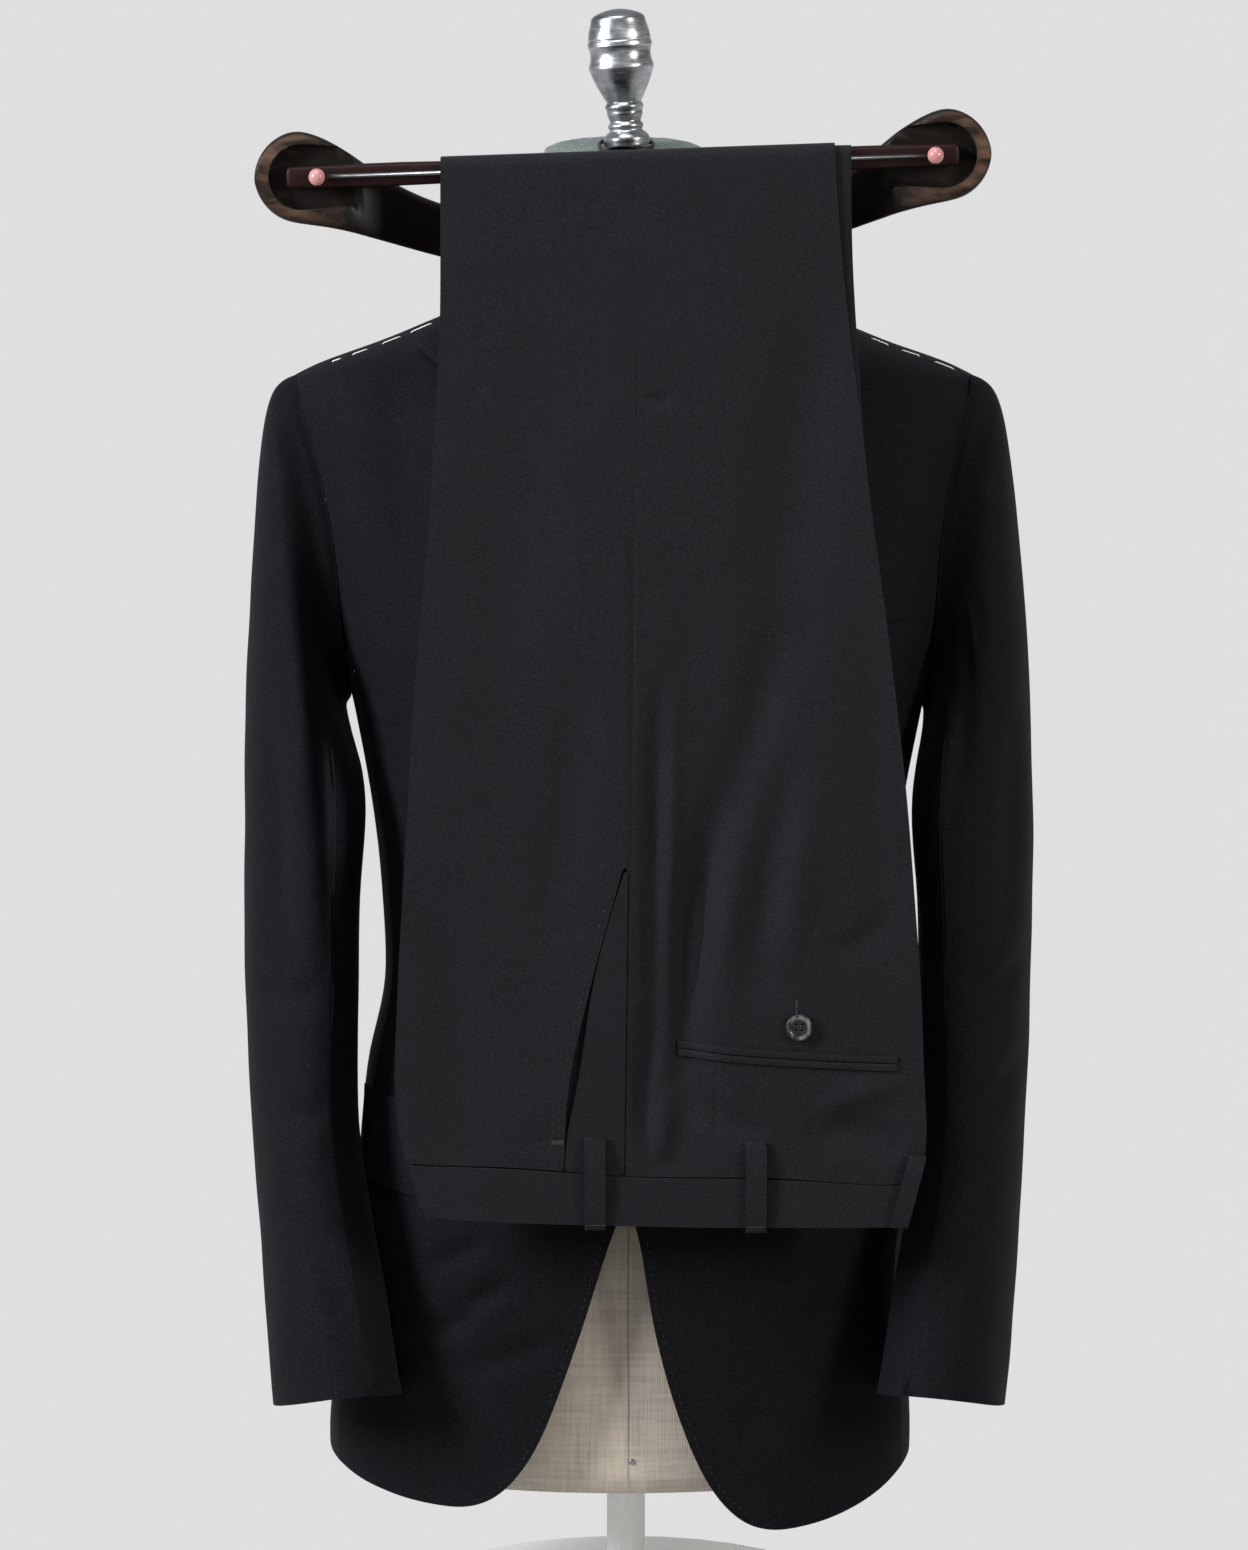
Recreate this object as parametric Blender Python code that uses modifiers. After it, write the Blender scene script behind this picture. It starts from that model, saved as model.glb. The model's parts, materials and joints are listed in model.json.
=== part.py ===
"""Two-piece wool suit: a single-breasted jacket worn by a limbless dress form, and its trousers
folded over the bar of a wooden hanger that is hooked on the form's neck knob.

Metres, +Z up, the front of the suit faces -Y. The origin is the middle of the underside of the
stand's base. "Left" and "right" in names are the wearer's: the wearer's right is at -X.
"""
import math
from collections import namedtuple

import bmesh
import bpy
from mathutils import Matrix, Vector

# Driving dimensions
CLOTH = 0.0016          # wall of the jacket's body and sleeves
FACED_CLOTH = 0.0014    # wall of lapels, flaps and welts
TROUSER_CLOTH = 0.0012  # wall of the trousers' outer panels
SEAM_GAP = 0.0007       # clear space between sewn pieces, which narrows to 0.3 mm inside
LAY_GAP = 0.0004        # clear space under a piece that lies on another
TURN_MERGE = 0.00002     # points of a turned shape this near the axis become one
SUIT_NAME = "wool_suit"

# Jacket body: a smooth ring at each height. centre is the ring's x, half its half width, front
# and back the y of its foremost and rearmost points, ridge the y of its widest points, and
# power shapes the corners (1 is an ellipse, less is squarer).
Ring = namedtuple("Ring", "z centre half front back ridge power")
JACKET = (
    Ring(0.080, -0.004, 0.1885, -0.1250, 0.118, -0.004, 0.86),
    Ring(0.130, -0.004, 0.1905, -0.1255, 0.119, -0.004, 0.86),
    Ring(0.175, -0.003, 0.1875, -0.1260, 0.120, -0.004, 0.86),
    Ring(0.220, -0.002, 0.1815, -0.1260, 0.120, -0.003, 0.86),
    Ring(0.270, 0.000, 0.1765, -0.1250, 0.118, -0.002, 0.86),
    Ring(0.330, 0.002, 0.1745, -0.1225, 0.112, 0.000, 0.86),
    Ring(0.370, 0.003, 0.1735, -0.1200, 0.107, 0.001, 0.86),
    Ring(0.393, 0.004, 0.1640, -0.1185, 0.103, 0.001, 0.87),
    Ring(0.420, 0.005, 0.1615, -0.1170, 0.100, 0.002, 0.87),
    Ring(0.475, 0.007, 0.1640, -0.1170, 0.100, 0.002, 0.87),
    Ring(0.545, 0.008, 0.1726, -0.1210, 0.107, 0.004, 0.87),
    Ring(0.605, 0.008, 0.1840, -0.1250, 0.117, 0.006, 0.86),
    Ring(0.660, 0.008, 0.1985, -0.1260, 0.125, 0.008, 0.85),
    Ring(0.712, 0.007, 0.2055, -0.1240, 0.129, 0.009, 0.85),
    Ring(0.760, 0.006, 0.2120, -0.1160, 0.126, 0.009, 0.85),
    Ring(0.790, 0.005, 0.2160, -0.1050, 0.118, 0.008, 0.85),
    Ring(0.8145, 0.005, 0.2165, -0.0910, 0.107, 0.007, 0.86),
    Ring(0.8325, 0.005, 0.1700, -0.0800, 0.098, 0.006, 0.87),
    Ring(0.8445, 0.005, 0.1415, -0.0715, 0.091, 0.006, 0.88),
    Ring(0.8540, 0.004, 0.1180, -0.0650, 0.085, 0.006, 0.90),
    Ring(0.8690, 0.003, 0.0800, -0.0560, 0.075, 0.006, 0.94),
)
SHOULDER_Z = 0.8145
BACK_HEM_Z = 0.121
SIDE_FRONT_SEAM = 0.80   # in turns: 0 is the centre front, 1 the side, 2 the centre back
SIDE_BACK_SEAM = 1.20

# Armhole: an oval on the ring surface, in turns and height
ARMHOLE_Z = 0.712
ARMHOLE_HALF_HEIGHT = SHOULDER_Z - ARMHOLE_Z
ARMHOLE_FRONT = 0.25
ARMHOLE_BACK = 0.27

# Front edge of each front, from the hem's lowest point to the top of the overlap: x of the edge
Edge = namedtuple("Edge", "z x")
RIGHT_FRONT_EDGE = (
    Edge(0.1012, -0.1050), Edge(0.1035, -0.0945), Edge(0.1080, -0.0845), Edge(0.1190, -0.0720),
    Edge(0.1376, -0.0589), Edge(0.1739, -0.0437), Edge(0.2160, -0.0292), Edge(0.2500, -0.0180),
    Edge(0.2804, -0.0095), Edge(0.3050, 0.0010), Edge(0.3300, 0.0110), Edge(0.3550, 0.0180),
    Edge(0.3850, 0.0205), Edge(0.4500, 0.0205),
)
LEFT_FRONT_EDGE = (
    Edge(0.0862, 0.0952), Edge(0.0881, 0.0850), Edge(0.0934, 0.0740), Edge(0.1064, 0.0600),
    Edge(0.1279, 0.0469), Edge(0.1616, 0.0335), Edge(0.1940, 0.0238), Edge(0.2340, 0.0148),
    Edge(0.2823, 0.0085), Edge(0.3050, -0.0005), Edge(0.3300, -0.0110), Edge(0.3550, -0.0180),
    Edge(0.3850, -0.0205), Edge(0.4500, -0.0205),
)
HEM_CURVE_HEIGHT = 0.16  # the rows even out over this height above the hem
OVERLAP_HALF = 0.0205
OVERLAP_TOP = 0.450
OVERLAP_STEP = 0.0028    # the under front lies this much deeper at the centre
OVERLAP_FADE = (0.025, 0.095)  # and comes out again between these distances from it
RIGHT_LAPEL_START = 0.556  # the right lapel shows from here up, above the crossing

# Lapel, in the front view, mirrored about the centre line
GORGE_START = (0.0745, 0.838)
NOTCH = (0.1063, 0.8125)
LAPEL_TIP = (0.1428, 0.7907)
LAPEL_EDGE = (
    Edge(0.455, -0.0120), Edge(0.500, 0.0190), Edge(0.560, 0.0530), Edge(0.640, 0.0900),
    Edge(0.7386, 0.1259), Edge(0.7646, 0.1334), Edge(0.7907, 0.1428),
)
COLLAR_TIP = (0.1324, 0.8325)

# Sleeve: four lines run from the armhole to the cuff, as x from the sleeve's own centre line,
# y and z: outer (over the top of the arm), front and back (which share a height), and inner.
SleeveRow = namedtuple(
    "SleeveRow", "centre outer outer_y outer_z front_y back_y middle_x middle_z inner inner_y inner_z")
SLEEVE = (
    SleeveRow(0.005, 0.2260, 0.007, 0.8100, -0.0500, 0.072, 0.2010, 0.7060, 0.1860, 0.004, 0.6040),
    SleeveRow(0.005, 0.2330, 0.007, 0.8000, -0.0580, 0.080, 0.2110, 0.6980, 0.1868, 0.002, 0.5990),
    SleeveRow(0.006, 0.2395, 0.008, 0.7663, -0.0640, 0.086, 0.2150, 0.6780, 0.1862, -0.006, 0.5910),
    SleeveRow(0.007, 0.2455, 0.009, 0.7050, -0.0700, 0.088, 0.2170, 0.6400, 0.1830, -0.022, 0.5780),
    SleeveRow(0.008, 0.2515, 0.010, 0.6300, -0.0740, 0.087, 0.2165, 0.5960, 0.1765, -0.040, 0.5620),
    SleeveRow(0.008, 0.2542, 0.010, 0.5450, -0.0770, 0.082, 0.2150, 0.5380, 0.1735, -0.052, 0.5320),
    SleeveRow(0.008, 0.2545, 0.008, 0.4750, -0.0785, 0.073, 0.2165, 0.4740, 0.1800, -0.048, 0.4750),
    SleeveRow(0.008, 0.2535, 0.001, 0.4100, -0.0810, 0.059, 0.2175, 0.4110, 0.1805, -0.044, 0.4150),
    SleeveRow(0.008, 0.2495, -0.010, 0.3430, -0.0930, 0.041, 0.2180, 0.3450, 0.1815, -0.050, 0.3520),
    SleeveRow(0.0085, 0.2440, -0.030, 0.2790, -0.1120, 0.016, 0.2130, 0.2820, 0.1750, -0.070, 0.2900),
    SleeveRow(0.0085, 0.2390, -0.057, 0.2180, -0.1330, -0.016, 0.2050, 0.2210, 0.1650, -0.092, 0.2280),
    SleeveRow(0.0085, 0.2320, -0.083, 0.1660, -0.1520, -0.049, 0.1955, 0.1700, 0.1520, -0.110, 0.1740),
)
CUFF_TILT = 0.30         # the cuff's front edge is higher by this share of its depth
TILT_FROM_ROW = 5        # the rings start to tilt below this row
FOREARM_SEAM = 128.0     # degrees round the sleeve, 0 outer, 90 front, 180 inner, 270 back
HINDARM_SEAM = 282.0
CAP_ROWS = 4.0           # rows over which the cap leaves the armhole's own shape
SEAM_CLEARANCE = 0.0016  # the sleeves start this far off the body's seam
BODY_CLEARANCE = 0.0038  # and hang at least this far off the body

# Dress form: rings like the jacket's, inside it
FORM = (
    Ring(0.1070, -0.002, 0.1580, -0.1000, 0.100, 0.000, 0.90),
    Ring(0.1600, -0.002, 0.1620, -0.1030, 0.104, 0.000, 0.90),
    Ring(0.2300, 0.000, 0.1590, -0.1040, 0.104, 0.000, 0.90),
    Ring(0.3200, 0.002, 0.1500, -0.1020, 0.094, 0.000, 0.90),
    Ring(0.4200, 0.004, 0.1390, -0.0980, 0.082, 0.002, 0.90),
    Ring(0.5100, 0.006, 0.1450, -0.1020, 0.089, 0.004, 0.90),
    Ring(0.6100, 0.007, 0.1620, -0.1090, 0.104, 0.006, 0.90),
    Ring(0.6900, 0.007, 0.1720, -0.1090, 0.114, 0.008, 0.90),
    Ring(0.7500, 0.006, 0.1820, -0.1000, 0.113, 0.008, 0.90),
    Ring(0.7850, 0.005, 0.1900, -0.0890, 0.104, 0.008, 0.90),
    Ring(0.8020, 0.005, 0.1880, -0.0800, 0.097, 0.007, 0.90),
    Ring(0.8180, 0.005, 0.1640, -0.0710, 0.089, 0.006, 0.90),
    Ring(0.8340, 0.004, 0.1290, -0.0620, 0.081, 0.006, 0.92),
    Ring(0.8500, 0.003, 0.0890, -0.0540, 0.072, 0.006, 0.95),
    Ring(0.8660, 0.001, 0.0605, -0.0480, 0.058, 0.005, 1.00),
    Ring(0.8900, 0.000, 0.0545, -0.0460, 0.054, 0.004, 1.00),
    Ring(0.9200, -0.001, 0.0520, -0.0470, 0.053, 0.003, 1.00),
    Ring(0.9490, -0.0013, 0.0505, -0.0485, 0.0535, 0.0025, 1.00),
)
NECK_TILT = 0.164        # rise of the neck plate per metre towards the back
NECK_TILT_FROM = 0.88
PLATE_Z = 0.9572         # top of the neck plate on the form's axis
PLATE_HALF = (0.0515, 0.0520)
PLATE_THICKNESS = 0.0060
PLATE_BEVEL = 0.0012
PLATE_SIDES = 32
PLATE_CENTRE = (-0.0013, 0.0025)

# Turned knob: height above the plate and radius
Turn = namedtuple("Turn", "height radius")
KNOB = (
    Turn(0.0000, 0.0148), Turn(0.0040, 0.0150), Turn(0.0085, 0.0128), Turn(0.0150, 0.0099),
    Turn(0.0205, 0.0101), Turn(0.0240, 0.0116), Turn(0.0262, 0.0120), Turn(0.0276, 0.0111),
    Turn(0.0292, 0.0120), Turn(0.0340, 0.0145), Turn(0.0400, 0.0176), Turn(0.0450, 0.0196),
    Turn(0.0478, 0.0204), Turn(0.0496, 0.0213), Turn(0.0520, 0.0207), Turn(0.0550, 0.0196),
    Turn(0.0590, 0.0194), Turn(0.0625, 0.0203), Turn(0.0648, 0.0210), Turn(0.0668, 0.0203),
    Turn(0.0720, 0.0199), Turn(0.0780, 0.0178), Turn(0.0825, 0.0144), Turn(0.0862, 0.0096),
    Turn(0.0880, 0.0045), Turn(0.0885, 0.0000),
)
KNOB_LEAN = math.radians(-4.3)
KNOB_SIDES = 20
KNOB_X = 0.0008
KNOB_LIFT = 0.0028         # the leaning knob's foot clears the tilted plate

# Stand below the form
BASE_RADIUS = 0.150
BASE_HEIGHT = 0.012
BASE_BEVEL = 0.004
BASE_SIDES = 36
STEM_RADIUS = 0.0125
STEM_SIDES = 20
FIT_GAP = 0.0003         # between hard pieces that meet
FORM_FOOT_Z = 0.1070

# Hanger, level here and then tilted about its bar's middle
HANGER_TILT = math.radians(-2.0)
BAR_CENTRE = (-0.002, -0.148, 0.9500)
BAR_LENGTH = 0.411
BAR_DEPTH = 0.012
BAR_HEIGHT = 0.0130
BAR_BEVEL = 0.0035
ArmRow = namedtuple("ArmRow", "x drop half_height face thickness")
HANGER_ARM = (
    ArmRow(0.000, 0.0540, 0.0160, -0.0970, 0.0180),
    ArmRow(0.040, 0.0525, 0.0160, -0.0995, 0.0180),
    ArmRow(0.080, 0.0465, 0.0160, -0.1070, 0.0180),
    ArmRow(0.113, 0.0367, 0.0165, -0.1160, 0.0180),
    ArmRow(0.140, 0.0255, 0.0188, -0.1275, 0.0190),
    ArmRow(0.158, 0.0158, 0.0222, -0.1400, 0.0200),
    ArmRow(0.176, 0.0060, 0.0262, -0.1480, 0.0190),
    ArmRow(0.196, 0.0000, 0.0288, -0.1500, 0.0180),
)
PADDLE_X = 0.196         # centre of the arm's round end
PADDLE_RADIUS = 0.0288
RECESS_RIM = 0.0085
RECESS_INNER_X = 0.158
RECESS_FLOOR_Y = -0.1412
RECESS_FRONT_Y = -0.1700 # where the recess's cutter starts, in front of the arm
RECESS_TAPER = 0.80      # height of the recess at its inner end, as a share
ARM_ROUNDING = 0.005
WIRE_RADIUS = 0.0017
WIRE_Y = -0.1560
BALL_RADIUS = 0.0054
BALL_X = (-0.1880, 0.1880)
HOOK_RADIUS = 0.0017

# Trousers: they hang over the bar. x of each edge and of the side seam by height, in front
Outline = namedtuple("Outline", "z left seam right layer_right bulk")
TROUSER_FRONT = (
    Outline(0.3240, -0.1330, -0.0007, 0.1830, 0.1815, 0.0080),
    Outline(0.3360, -0.1368, -0.0007, 0.1885, 0.1870, 0.0080),
    Outline(0.3750, -0.1438, -0.0002, 0.1853, 0.1840, 0.0080),
    Outline(0.4380, -0.1416, 0.0006, 0.1828, 0.1815, 0.0072),
    Outline(0.5000, -0.1382, 0.0014, 0.1782, 0.1772, 0.0064),
    Outline(0.5620, -0.1342, 0.0030, 0.1732, 0.1722, 0.0056),
    Outline(0.6240, -0.1308, 0.0040, 0.1660, 0.1650, 0.0048),
    Outline(0.6860, -0.1250, 0.0044, 0.1580, 0.1572, 0.0042),
    Outline(0.7470, -0.1198, 0.0054, 0.1492, 0.1490, 0.0036),
    Outline(0.8080, -0.1159, 0.0060, 0.1422, 0.1440, 0.0032),
    Outline(0.8510, -0.1132, 0.0056, 0.1360, 0.1411, 0.0030),
    Outline(0.9110, -0.1129, 0.0046, 0.1298, 0.1377, 0.0027),
    Outline(0.9520, -0.1128, 0.0036, 0.1268, 0.1375, 0.0024),
)
HEM_Z = 0.555
HEM_LEFT = -0.098
HEM_RIGHT = 0.1130
HEM_SEAM = 0.0045
FRONT_INNER_Y = -0.1592  # inside of the layers in front, just clear of the clamp wire
BACK_INNER_Y = -0.1409   # inside of the layers behind the bar
LAYER_TOP = 0.0012       # the layers' thickness over the bar
LAYER_INSET = 0.0006     # the layers' edges lie this far inside the panels' edges
LAYER_FOOT = (0.3000, 0.3250)
ARCH_RISE = 0.0042       # height of the fold's arch above its springing
BAR_TOP_Z = 0.9572       # inside of the layers over the bar, at its middle
WAIST_Y = -0.1605        # outer face of the panels at the waistband seam
WAIST_TUCK = 0.0045      # and how far it stands in front of that
LEG_FOOT_Z = 0.30        # the front panels come forward from here up, over this height
LEG_RISE = 0.60
ARCH_FOOT_Z = 0.952      # where the fold's arch over the bar starts
BAND_PROUD = 0.0006      # the waistband stands this much in front of the panels
WELT_THICKNESS = 0.0010
WELT_LIFT = 0.0011
WELT_FOLLOW = 0.55       # the welts follow this share of a fold's depth
LAYER_GROOVE = 0.0011    # depth of the grooves between the layers' edges

# Waistband: height of its seam and of its lower edge by x
Band = namedtuple("Band", "x seam lower")
WAISTBAND = (
    Band(-0.1354, 0.3338, 0.3060), Band(-0.1240, 0.3330, 0.3022), Band(-0.1094, 0.3326, 0.2990),
    Band(-0.0800, 0.3319, 0.2976), Band(-0.0398, 0.3292, 0.2962), Band(0.0024, 0.3258, 0.2952),
    Band(0.0400, 0.3252, 0.2944), Band(0.0801, 0.3252, 0.2940), Band(0.1250, 0.3228, 0.2940),
    Band(0.1640, 0.3200, 0.2944), Band(0.1790, 0.3220, 0.2975),
)
BAND_LEFT_SLANT = 0.0075
BAND_THICKNESS = 0.0022
Loop = namedtuple("Loop", "name top_x top_z bottom_x bottom_z width")
BELT_LOOPS = (
    Loop("belt_loop_front", -0.0193, 0.3515, -0.0193, 0.2930, 0.0130),
    Loop("belt_loop_side", 0.0808, 0.3483, 0.0808, 0.2915, 0.0130),
    Loop("belt_loop_back", 0.1810, 0.3400, 0.1695, 0.2945, 0.0110),
)
LOOP_THICKNESS = 0.0016
LOOP_STAND = 0.0022

# Slant pocket: x of the front panel's edge by height, from the waistband to the pocket's top
SLANT = (
    Edge(0.3290, -0.0386), Edge(0.3534, -0.0379), Edge(0.3730, -0.0372), Edge(0.4044, -0.0322),
    Edge(0.4414, -0.0229), Edge(0.4784, -0.0142), Edge(0.5046, -0.0056), Edge(0.5270, 0.0014),
)
GAPE_TOP = 0.4500
GAPE_BOTTOM = 0.3480
GAPE_WIDTH = 0.0050
GAPE_LIFT = 0.0022
FACING_TOP = 0.5170
FACING_FOOT = 0.3275

# Back pocket: two welts and a button on the back panel
WELT_LEFT_X = 0.0321
WELT_RIGHT_X = 0.1677
WELT_LEFT_Z = 0.4062
WELT_RIGHT_Z = 0.3978
WELT_HEIGHT = 0.0046
WELT_SAG = 0.0012
POCKET_BUTTON = (0.1070, 0.4207)
POCKET_BUTTON_RADIUS = 0.0086

# Jacket buttons, pockets
FRONT_BUTTON_Z = (0.4330, 0.3330)
FRONT_BUTTON_RADIUS = 0.0100
BUTTON_THICKNESS = 0.0032
BUTTON_SIDES = 16
BUTTON_PROFILE = (  # shares of the radius and of the thickness, from the face's middle round the rim
    (0.0, 0.62), (0.60, 0.62), (0.80, 1.0), (0.95, 0.90), (1.0, 0.50), (0.86, 0.0), (0.0, 0.0))
HOLE_SHARE = 0.12        # radius of a button's hole, and its distance from the middle, as shares
HOLE_REACH = 0.30
FLAP_TURNS = (0.40, 0.845)
FLAP_TOP_Z = 0.3610
FLAP_DEPTH = 0.0580
FLAP_SLOPE = -0.0060
WELT_X = (0.0750, 0.1740)
WELT_Z = (0.6330, 0.6400)
WELT_DEPTH = 0.0240

# Colours and finish: base colour, roughness, metallic
FINISH = {
    "jacket_wool": ((0.007, 0.007, 0.010), 0.85, 0.0),
    "trouser_wool": ((0.015, 0.015, 0.019), 0.82, 0.0),
    "horn": ((0.012, 0.010, 0.010), 0.30, 0.0),
    "linen": ((0.36, 0.30, 0.235), 0.90, 0.0),
    "speckled_board": ((0.26, 0.30, 0.27), 0.60, 0.0),
    "cast_metal": ((0.42, 0.43, 0.45), 0.28, 1.0),
    "dark_wood": ((0.028, 0.016, 0.011), 0.38, 0.0),
    "bar_wood": ((0.045, 0.014, 0.011), 0.35, 0.0),
    "steel_wire": ((0.60, 0.60, 0.62), 0.25, 1.0),
    "clear_stop": ((0.62, 0.33, 0.33), 0.25, 0.0),
    "stand_paint": ((0.62, 0.62, 0.61), 0.55, 0.0),
}


# Smooth reading of tables

def slopes(knots, values):
    """Slope at each knot for a smooth curve that doesn't overshoot."""
    steps = [(values[i + 1] - values[i]) / (knots[i + 1] - knots[i]) for i in range(len(knots) - 1)]
    result = [steps[0]]
    for before, after in zip(steps, steps[1:]):
        result.append(0.0 if before * after <= 0 else 2 * before * after / (before + after))
    result.append(steps[-1])
    return result


def smooth(knots, values, at):
    """Value of the smooth curve through the knots, held constant past its ends."""
    if at <= knots[0]:
        return values[0]
    if at >= knots[-1]:
        return values[-1]
    index = max(i for i in range(len(knots) - 1) if knots[i] <= at)
    slope = slopes(knots, values)
    width = knots[index + 1] - knots[index]
    t = (at - knots[index]) / width
    return ((2 * t ** 3 - 3 * t ** 2 + 1) * values[index]
            + (t ** 3 - 2 * t ** 2 + t) * width * slope[index]
            + (3 * t ** 2 - 2 * t ** 3) * values[index + 1]
            + (t ** 3 - t ** 2) * width * slope[index + 1])


def column(table, key, value, at):
    """Read column value of a table at a place in its column key."""
    return smooth([getattr(row, key) for row in table], [getattr(row, value) for row in table], at)


def mix(a, b, share):
    return a + (b - a) * share


def ease(share):
    """0 to 1 with level ends."""
    share = min(max(share, 0.0), 1.0)
    return share * share * (3 - 2 * share)


def spread(start, end, count):
    """count + 1 values from start to end."""
    return [mix(start, end, i / count) for i in range(count + 1)]


# Meshes

def new_object(name, mesh, finish):
    colour, roughness, metallic = FINISH[finish]
    material = bpy.data.materials.get(finish)
    if material is None:
        material = bpy.data.materials.new(finish)
        material.use_nodes = True
        shader = material.node_tree.nodes["Principled BSDF"]
        shader.inputs["Base Color"].default_value = (*colour, 1.0)
        shader.inputs["Roughness"].default_value = roughness
        shader.inputs["Metallic"].default_value = metallic
        material.diffuse_color = (*colour, 1.0)
    mesh.materials.clear()
    mesh.materials.append(material)
    item = bpy.data.objects.new(name, mesh)
    suit_collection.objects.link(item)
    return item


def skin(name, rows, finish, closed=False, flip=False):
    """A smooth surface through rows of points; a closed one joins each row's ends and is capped."""
    width = len(rows[0])
    work = bmesh.new()
    points = [[work.verts.new(p) for p in row] for row in rows]
    last = width if closed else width - 1
    for low, high in zip(points, points[1:]):
        for i in range(last):
            j = (i + 1) % width
            corners = [low[i], low[j], high[j], high[i]]
            work.faces.new(corners[::-1] if flip else corners)
    if closed:
        work.faces.new(points[0] if flip else points[0][::-1])
        work.faces.new(points[-1][::-1] if flip else points[-1])
    for face in work.faces:
        face.smooth = True
    mesh = bpy.data.meshes.new(name)
    work.to_mesh(mesh)
    work.free()
    return new_object(name, mesh, finish)


def wall(name, rows, thickness, finish, flip=False):
    """A cloth wall: the rows are its outer face, and Solidify gives it its thickness inwards."""
    item = skin(name, rows, finish, flip=flip)
    solid = item.modifiers.new("thickness", "SOLIDIFY")
    solid.thickness = thickness
    solid.offset = -1.0
    solid.use_even_offset = False
    return item


def turned(name, profile, steps, finish):
    """A turned solid: a profile of (radius, height) points from axis to axis, with a Screw."""
    mesh = bpy.data.meshes.new(name)
    points = [(radius, 0.0, height) for radius, height in profile]
    mesh.from_pydata(points, [(i, i + 1) for i in range(len(points) - 1)], [])
    item = new_object(name, mesh, finish)
    turning = item.modifiers.new("turning", "SCREW")
    turning.axis = "Z"
    turning.angle = math.tau
    turning.steps = turning.render_steps = steps
    turning.use_merge_vertices = True
    turning.merge_threshold = TURN_MERGE
    turning.use_normal_calculate = True
    return item


def cutter(name, mesh, body):
    """A hidden cutter object and the Boolean that cuts a body with it."""
    tool = bpy.data.objects.new(name, mesh)
    cutter_collection.objects.link(tool)
    tool.hide_render = True
    tool.display_type = "WIRE"
    cut = body.modifiers.new(name, "BOOLEAN")
    cut.operation = "DIFFERENCE"
    cut.solver = "EXACT"
    cut.object = tool
    return tool


# Jacket surface

def ring_point(table, side, turn, z):
    """Point of a ring table at a height, turn 0 in front, 1 at the side and 2 behind."""
    angle = turn * math.pi / 2
    power = column(table, "z", "power", z)
    ridge = column(table, "z", "ridge", z)
    across = abs(math.sin(angle)) ** power
    along = abs(math.cos(angle)) ** power
    reach = column(table, "z", "front" if turn <= 1 else "back", z) - ridge
    x = column(table, "z", "centre", z) + side * column(table, "z", "half", z) * across
    return Vector((x, ridge + reach * along, z))


def jacket_out(side, turn, z, out):
    """Point of the jacket's outer face, moved out along its normal."""
    step = 0.004
    low_turn, high_turn = max(turn - 0.01, 0.0), min(turn + 0.01, 2.0)
    round_it = ring_point(JACKET, side, high_turn, z) - ring_point(JACKET, side, low_turn, z)
    low_z, high_z = max(z - step, JACKET[0].z), min(z + step, JACKET[-1].z)
    up = ring_point(JACKET, side, turn, high_z) - ring_point(JACKET, side, turn, low_z)
    normal = round_it.cross(up) * side
    return ring_point(JACKET, side, turn, z) + normal.normalized() * out


def turn_at(side, x, z):
    """Turn of the front of the jacket at a world x; negative past the centre."""
    share = (x - column(JACKET, "z", "centre", z)) * side / column(JACKET, "z", "half", z)
    power = column(JACKET, "z", "power", z)
    turn = math.asin(min(abs(share), 1.0) ** (1 / power)) / (math.pi / 2)
    return math.copysign(turn, share)


def front_point(side, turn, z, out=0.0):
    """Jacket point for a turn that may be past the centre front."""
    if turn < 0:
        return jacket_out(-side, -turn, z, out)
    return jacket_out(side, turn, z, out)


def armhole_turn(z, reach):
    """Distance in turns from the side to the armhole seam at a height."""
    share = (z - ARMHOLE_Z) / ARMHOLE_HALF_HEIGHT
    return reach * math.sqrt(max(1 - share * share, 0.0))


def seam_turns(z):
    """Half a seam gap, in turns, at a height."""
    return SEAM_GAP / 2 / (column(JACKET, "z", "half", z) * 1.45)


# Jacket pieces

def roll_x(z):
    """x of the roll line from the centre, on the side of its own front."""
    start = -OVERLAP_HALF
    share = (z - OVERLAP_TOP) / (GORGE_START[1] - OVERLAP_TOP)
    if share <= 1:
        return mix(start, GORGE_START[0], share) + 0.004 * math.sin(math.pi * share)
    return GORGE_START[0]


def front_edge_x(side, z):
    """World x of a front's free edge: cutaway, overlap and roll line."""
    if z > OVERLAP_TOP:
        return side * roll_x(z)
    return column(LEFT_FRONT_EDGE if side > 0 else RIGHT_FRONT_EDGE, "z", "x", z)


def overlap_depth(side, x, z):
    """How far the under front (the wearer's right) lies below the other near the centre."""
    if side > 0:
        return 0.0
    start, end = OVERLAP_FADE
    share = (end - abs(min(x, 0.0))) / (end - start)
    return -OVERLAP_STEP * ease(share) * ease((RIGHT_LAPEL_START + 0.02 - z) / 0.06)


def front_outer_turn(z):
    """Turn of a front's outer edge: the side seam, then the armhole, then the shoulder."""
    if z >= SHOULDER_Z:
        return 1.0
    if z <= ARMHOLE_Z - ARMHOLE_HALF_HEIGHT:
        return SIDE_FRONT_SEAM
    arm = 1 - armhole_turn(z, ARMHOLE_FRONT)
    return arm if z > ARMHOLE_Z else min(SIDE_FRONT_SEAM, arm)


HEM_LEVELS = (0.000, 0.003, 0.009, 0.021, 0.040, 0.066, 0.098, 0.132, 0.166, 0.200, 0.236, 0.275,
              0.315)
BODY_LEVELS = (0.450, 0.498, 0.548, 0.600, 0.640, 0.676, 0.712, 0.750, 0.782, 0.803, 0.8145, 0.8235,
               0.8340, 0.8445, 0.8555, 0.8690)


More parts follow.
